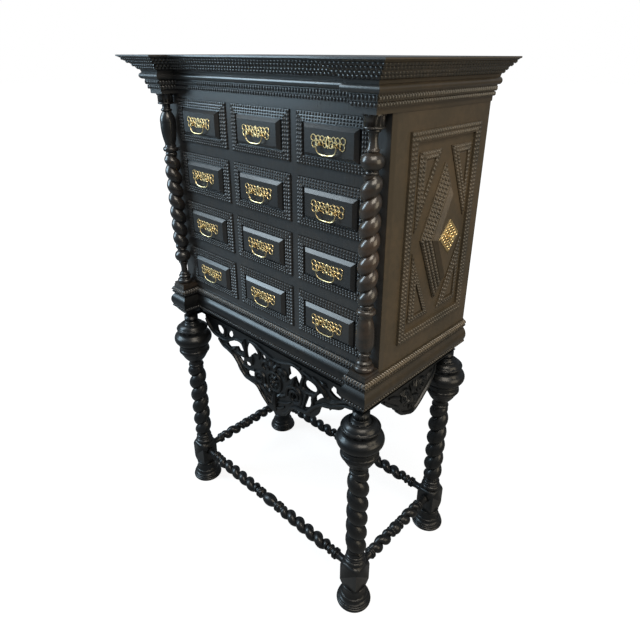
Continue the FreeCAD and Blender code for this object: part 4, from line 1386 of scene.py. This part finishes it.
# %% Floor
bpy.ops.mesh.primitive_plane_add(size=60)
floor = bpy.context.object
floor.name = "floor"
floor_finish = Finish("floor", roughness=0.8, specular=0.0)
floor_finish.surface.inputs["Base Color"].default_value = (0.24, 0.24, 0.24, 1)
seen_by_camera = floor_finish.node("ShaderNodeLightPath")
distance = floor_finish.node("ShaderNodeVectorMath", {"operation": "LENGTH"}, 1,
                             Vector=floor_finish.place)
near_glow = 0.86
far_gain = 0.16
far_share = floor_finish.ramp(distance, low_stop=0.9, high_stop=2.6)
glow = seen_by_camera * (near_glow + far_share * far_gain)
floor_finish.surface.inputs["Emission Strength"].default_value = 1.0
floor_finish.feed("Emission Color", glow)
finished(floor, floor_finish.material)
print("floor glows", near_glow, "near the feet")

# %% A white surround for the camera alone
world = bpy.data.worlds.new("studio")
bpy.context.scene.world = world
world.use_nodes = True
tree = world.node_tree
background = tree.nodes["Background"]
background.inputs["Color"].default_value = (0.8, 0.9, 1.0, 1)
background.inputs["Strength"].default_value = 0.28
white = tree.nodes.new("ShaderNodeBackground")
white.inputs["Color"].default_value = (1, 1, 1, 1)
white.inputs["Strength"].default_value = 1.0
rays = tree.nodes.new("ShaderNodeLightPath")
chooser = tree.nodes.new("ShaderNodeMixShader")
tree.links.new(rays.outputs["Is Camera Ray"], chooser.inputs[0])
tree.links.new(background.outputs[0], chooser.inputs[1])
tree.links.new(white.outputs[0], chooser.inputs[2])
tree.links.new(chooser.outputs[0], tree.nodes["World Output"].inputs[0])
print("surround at", background.inputs["Strength"].default_value)

# %% Lamps


def lamp(name, place, target, size, power, colour):
    bpy.ops.object.light_add(type="AREA", location=place)
    light = bpy.context.object
    light.name = name
    light.rotation_euler = (Vector(target) - Vector(place)).to_track_quat("-Z", "Y").to_euler()
    light.data.shape = "RECTANGLE"
    light.data.size, light.data.size_y = size
    light.data.energy = power
    light.data.color = colour
    return light


lamp("window", place=(-2.5, -2.3, 2.1), target=(0, 0, 1.0), size=(1.2, 1.5), power=80,
     colour=(0.62, 0.84, 1.0))
lamp("skylight", place=(-1.95, -1.55, 3.0), target=(0, 0, 1.1), size=(1.2, 1.2), power=42,
     colour=(0.76, 0.9, 1.0))
lamp("room", place=(2.7, 0.3, 1.5), target=(0.35, 0, 1.1), size=(1.6, 1.6), power=28,
     colour=(1.0, 0.86, 0.64))
lamp("room_ceiling", place=(1.35, -0.8, 3.0), target=(0.35, 0, 1.0), size=(1.5, 1.5), power=54,
     colour=(1.0, 0.91, 0.78))
print("lamps set")

# %% [markdown]
# ## The camera
# Its place, tilt and lens were worked out from the picture: the upright legs, the level rows of
# drawers and the right angle between front and flank leave only one place to stand.

# %% Camera
camera_place = (1.0318, -1.0242, 1.5068)
downwards = 24.041
roll = -0.125
around = 43.716
turns = [math.radians(degrees) for degrees in (90 - downwards, roll, around)]
bpy.ops.object.camera_add(location=camera_place, rotation=turns)
camera = bpy.context.object
camera.data.sensor_width = 36
camera.data.lens = 29.4
camera.data.shift_y = -0.054
bpy.context.scene.camera = camera
bpy.context.scene.view_settings.view_transform = "Standard"
print("lens", round(camera.data.lens, 1))
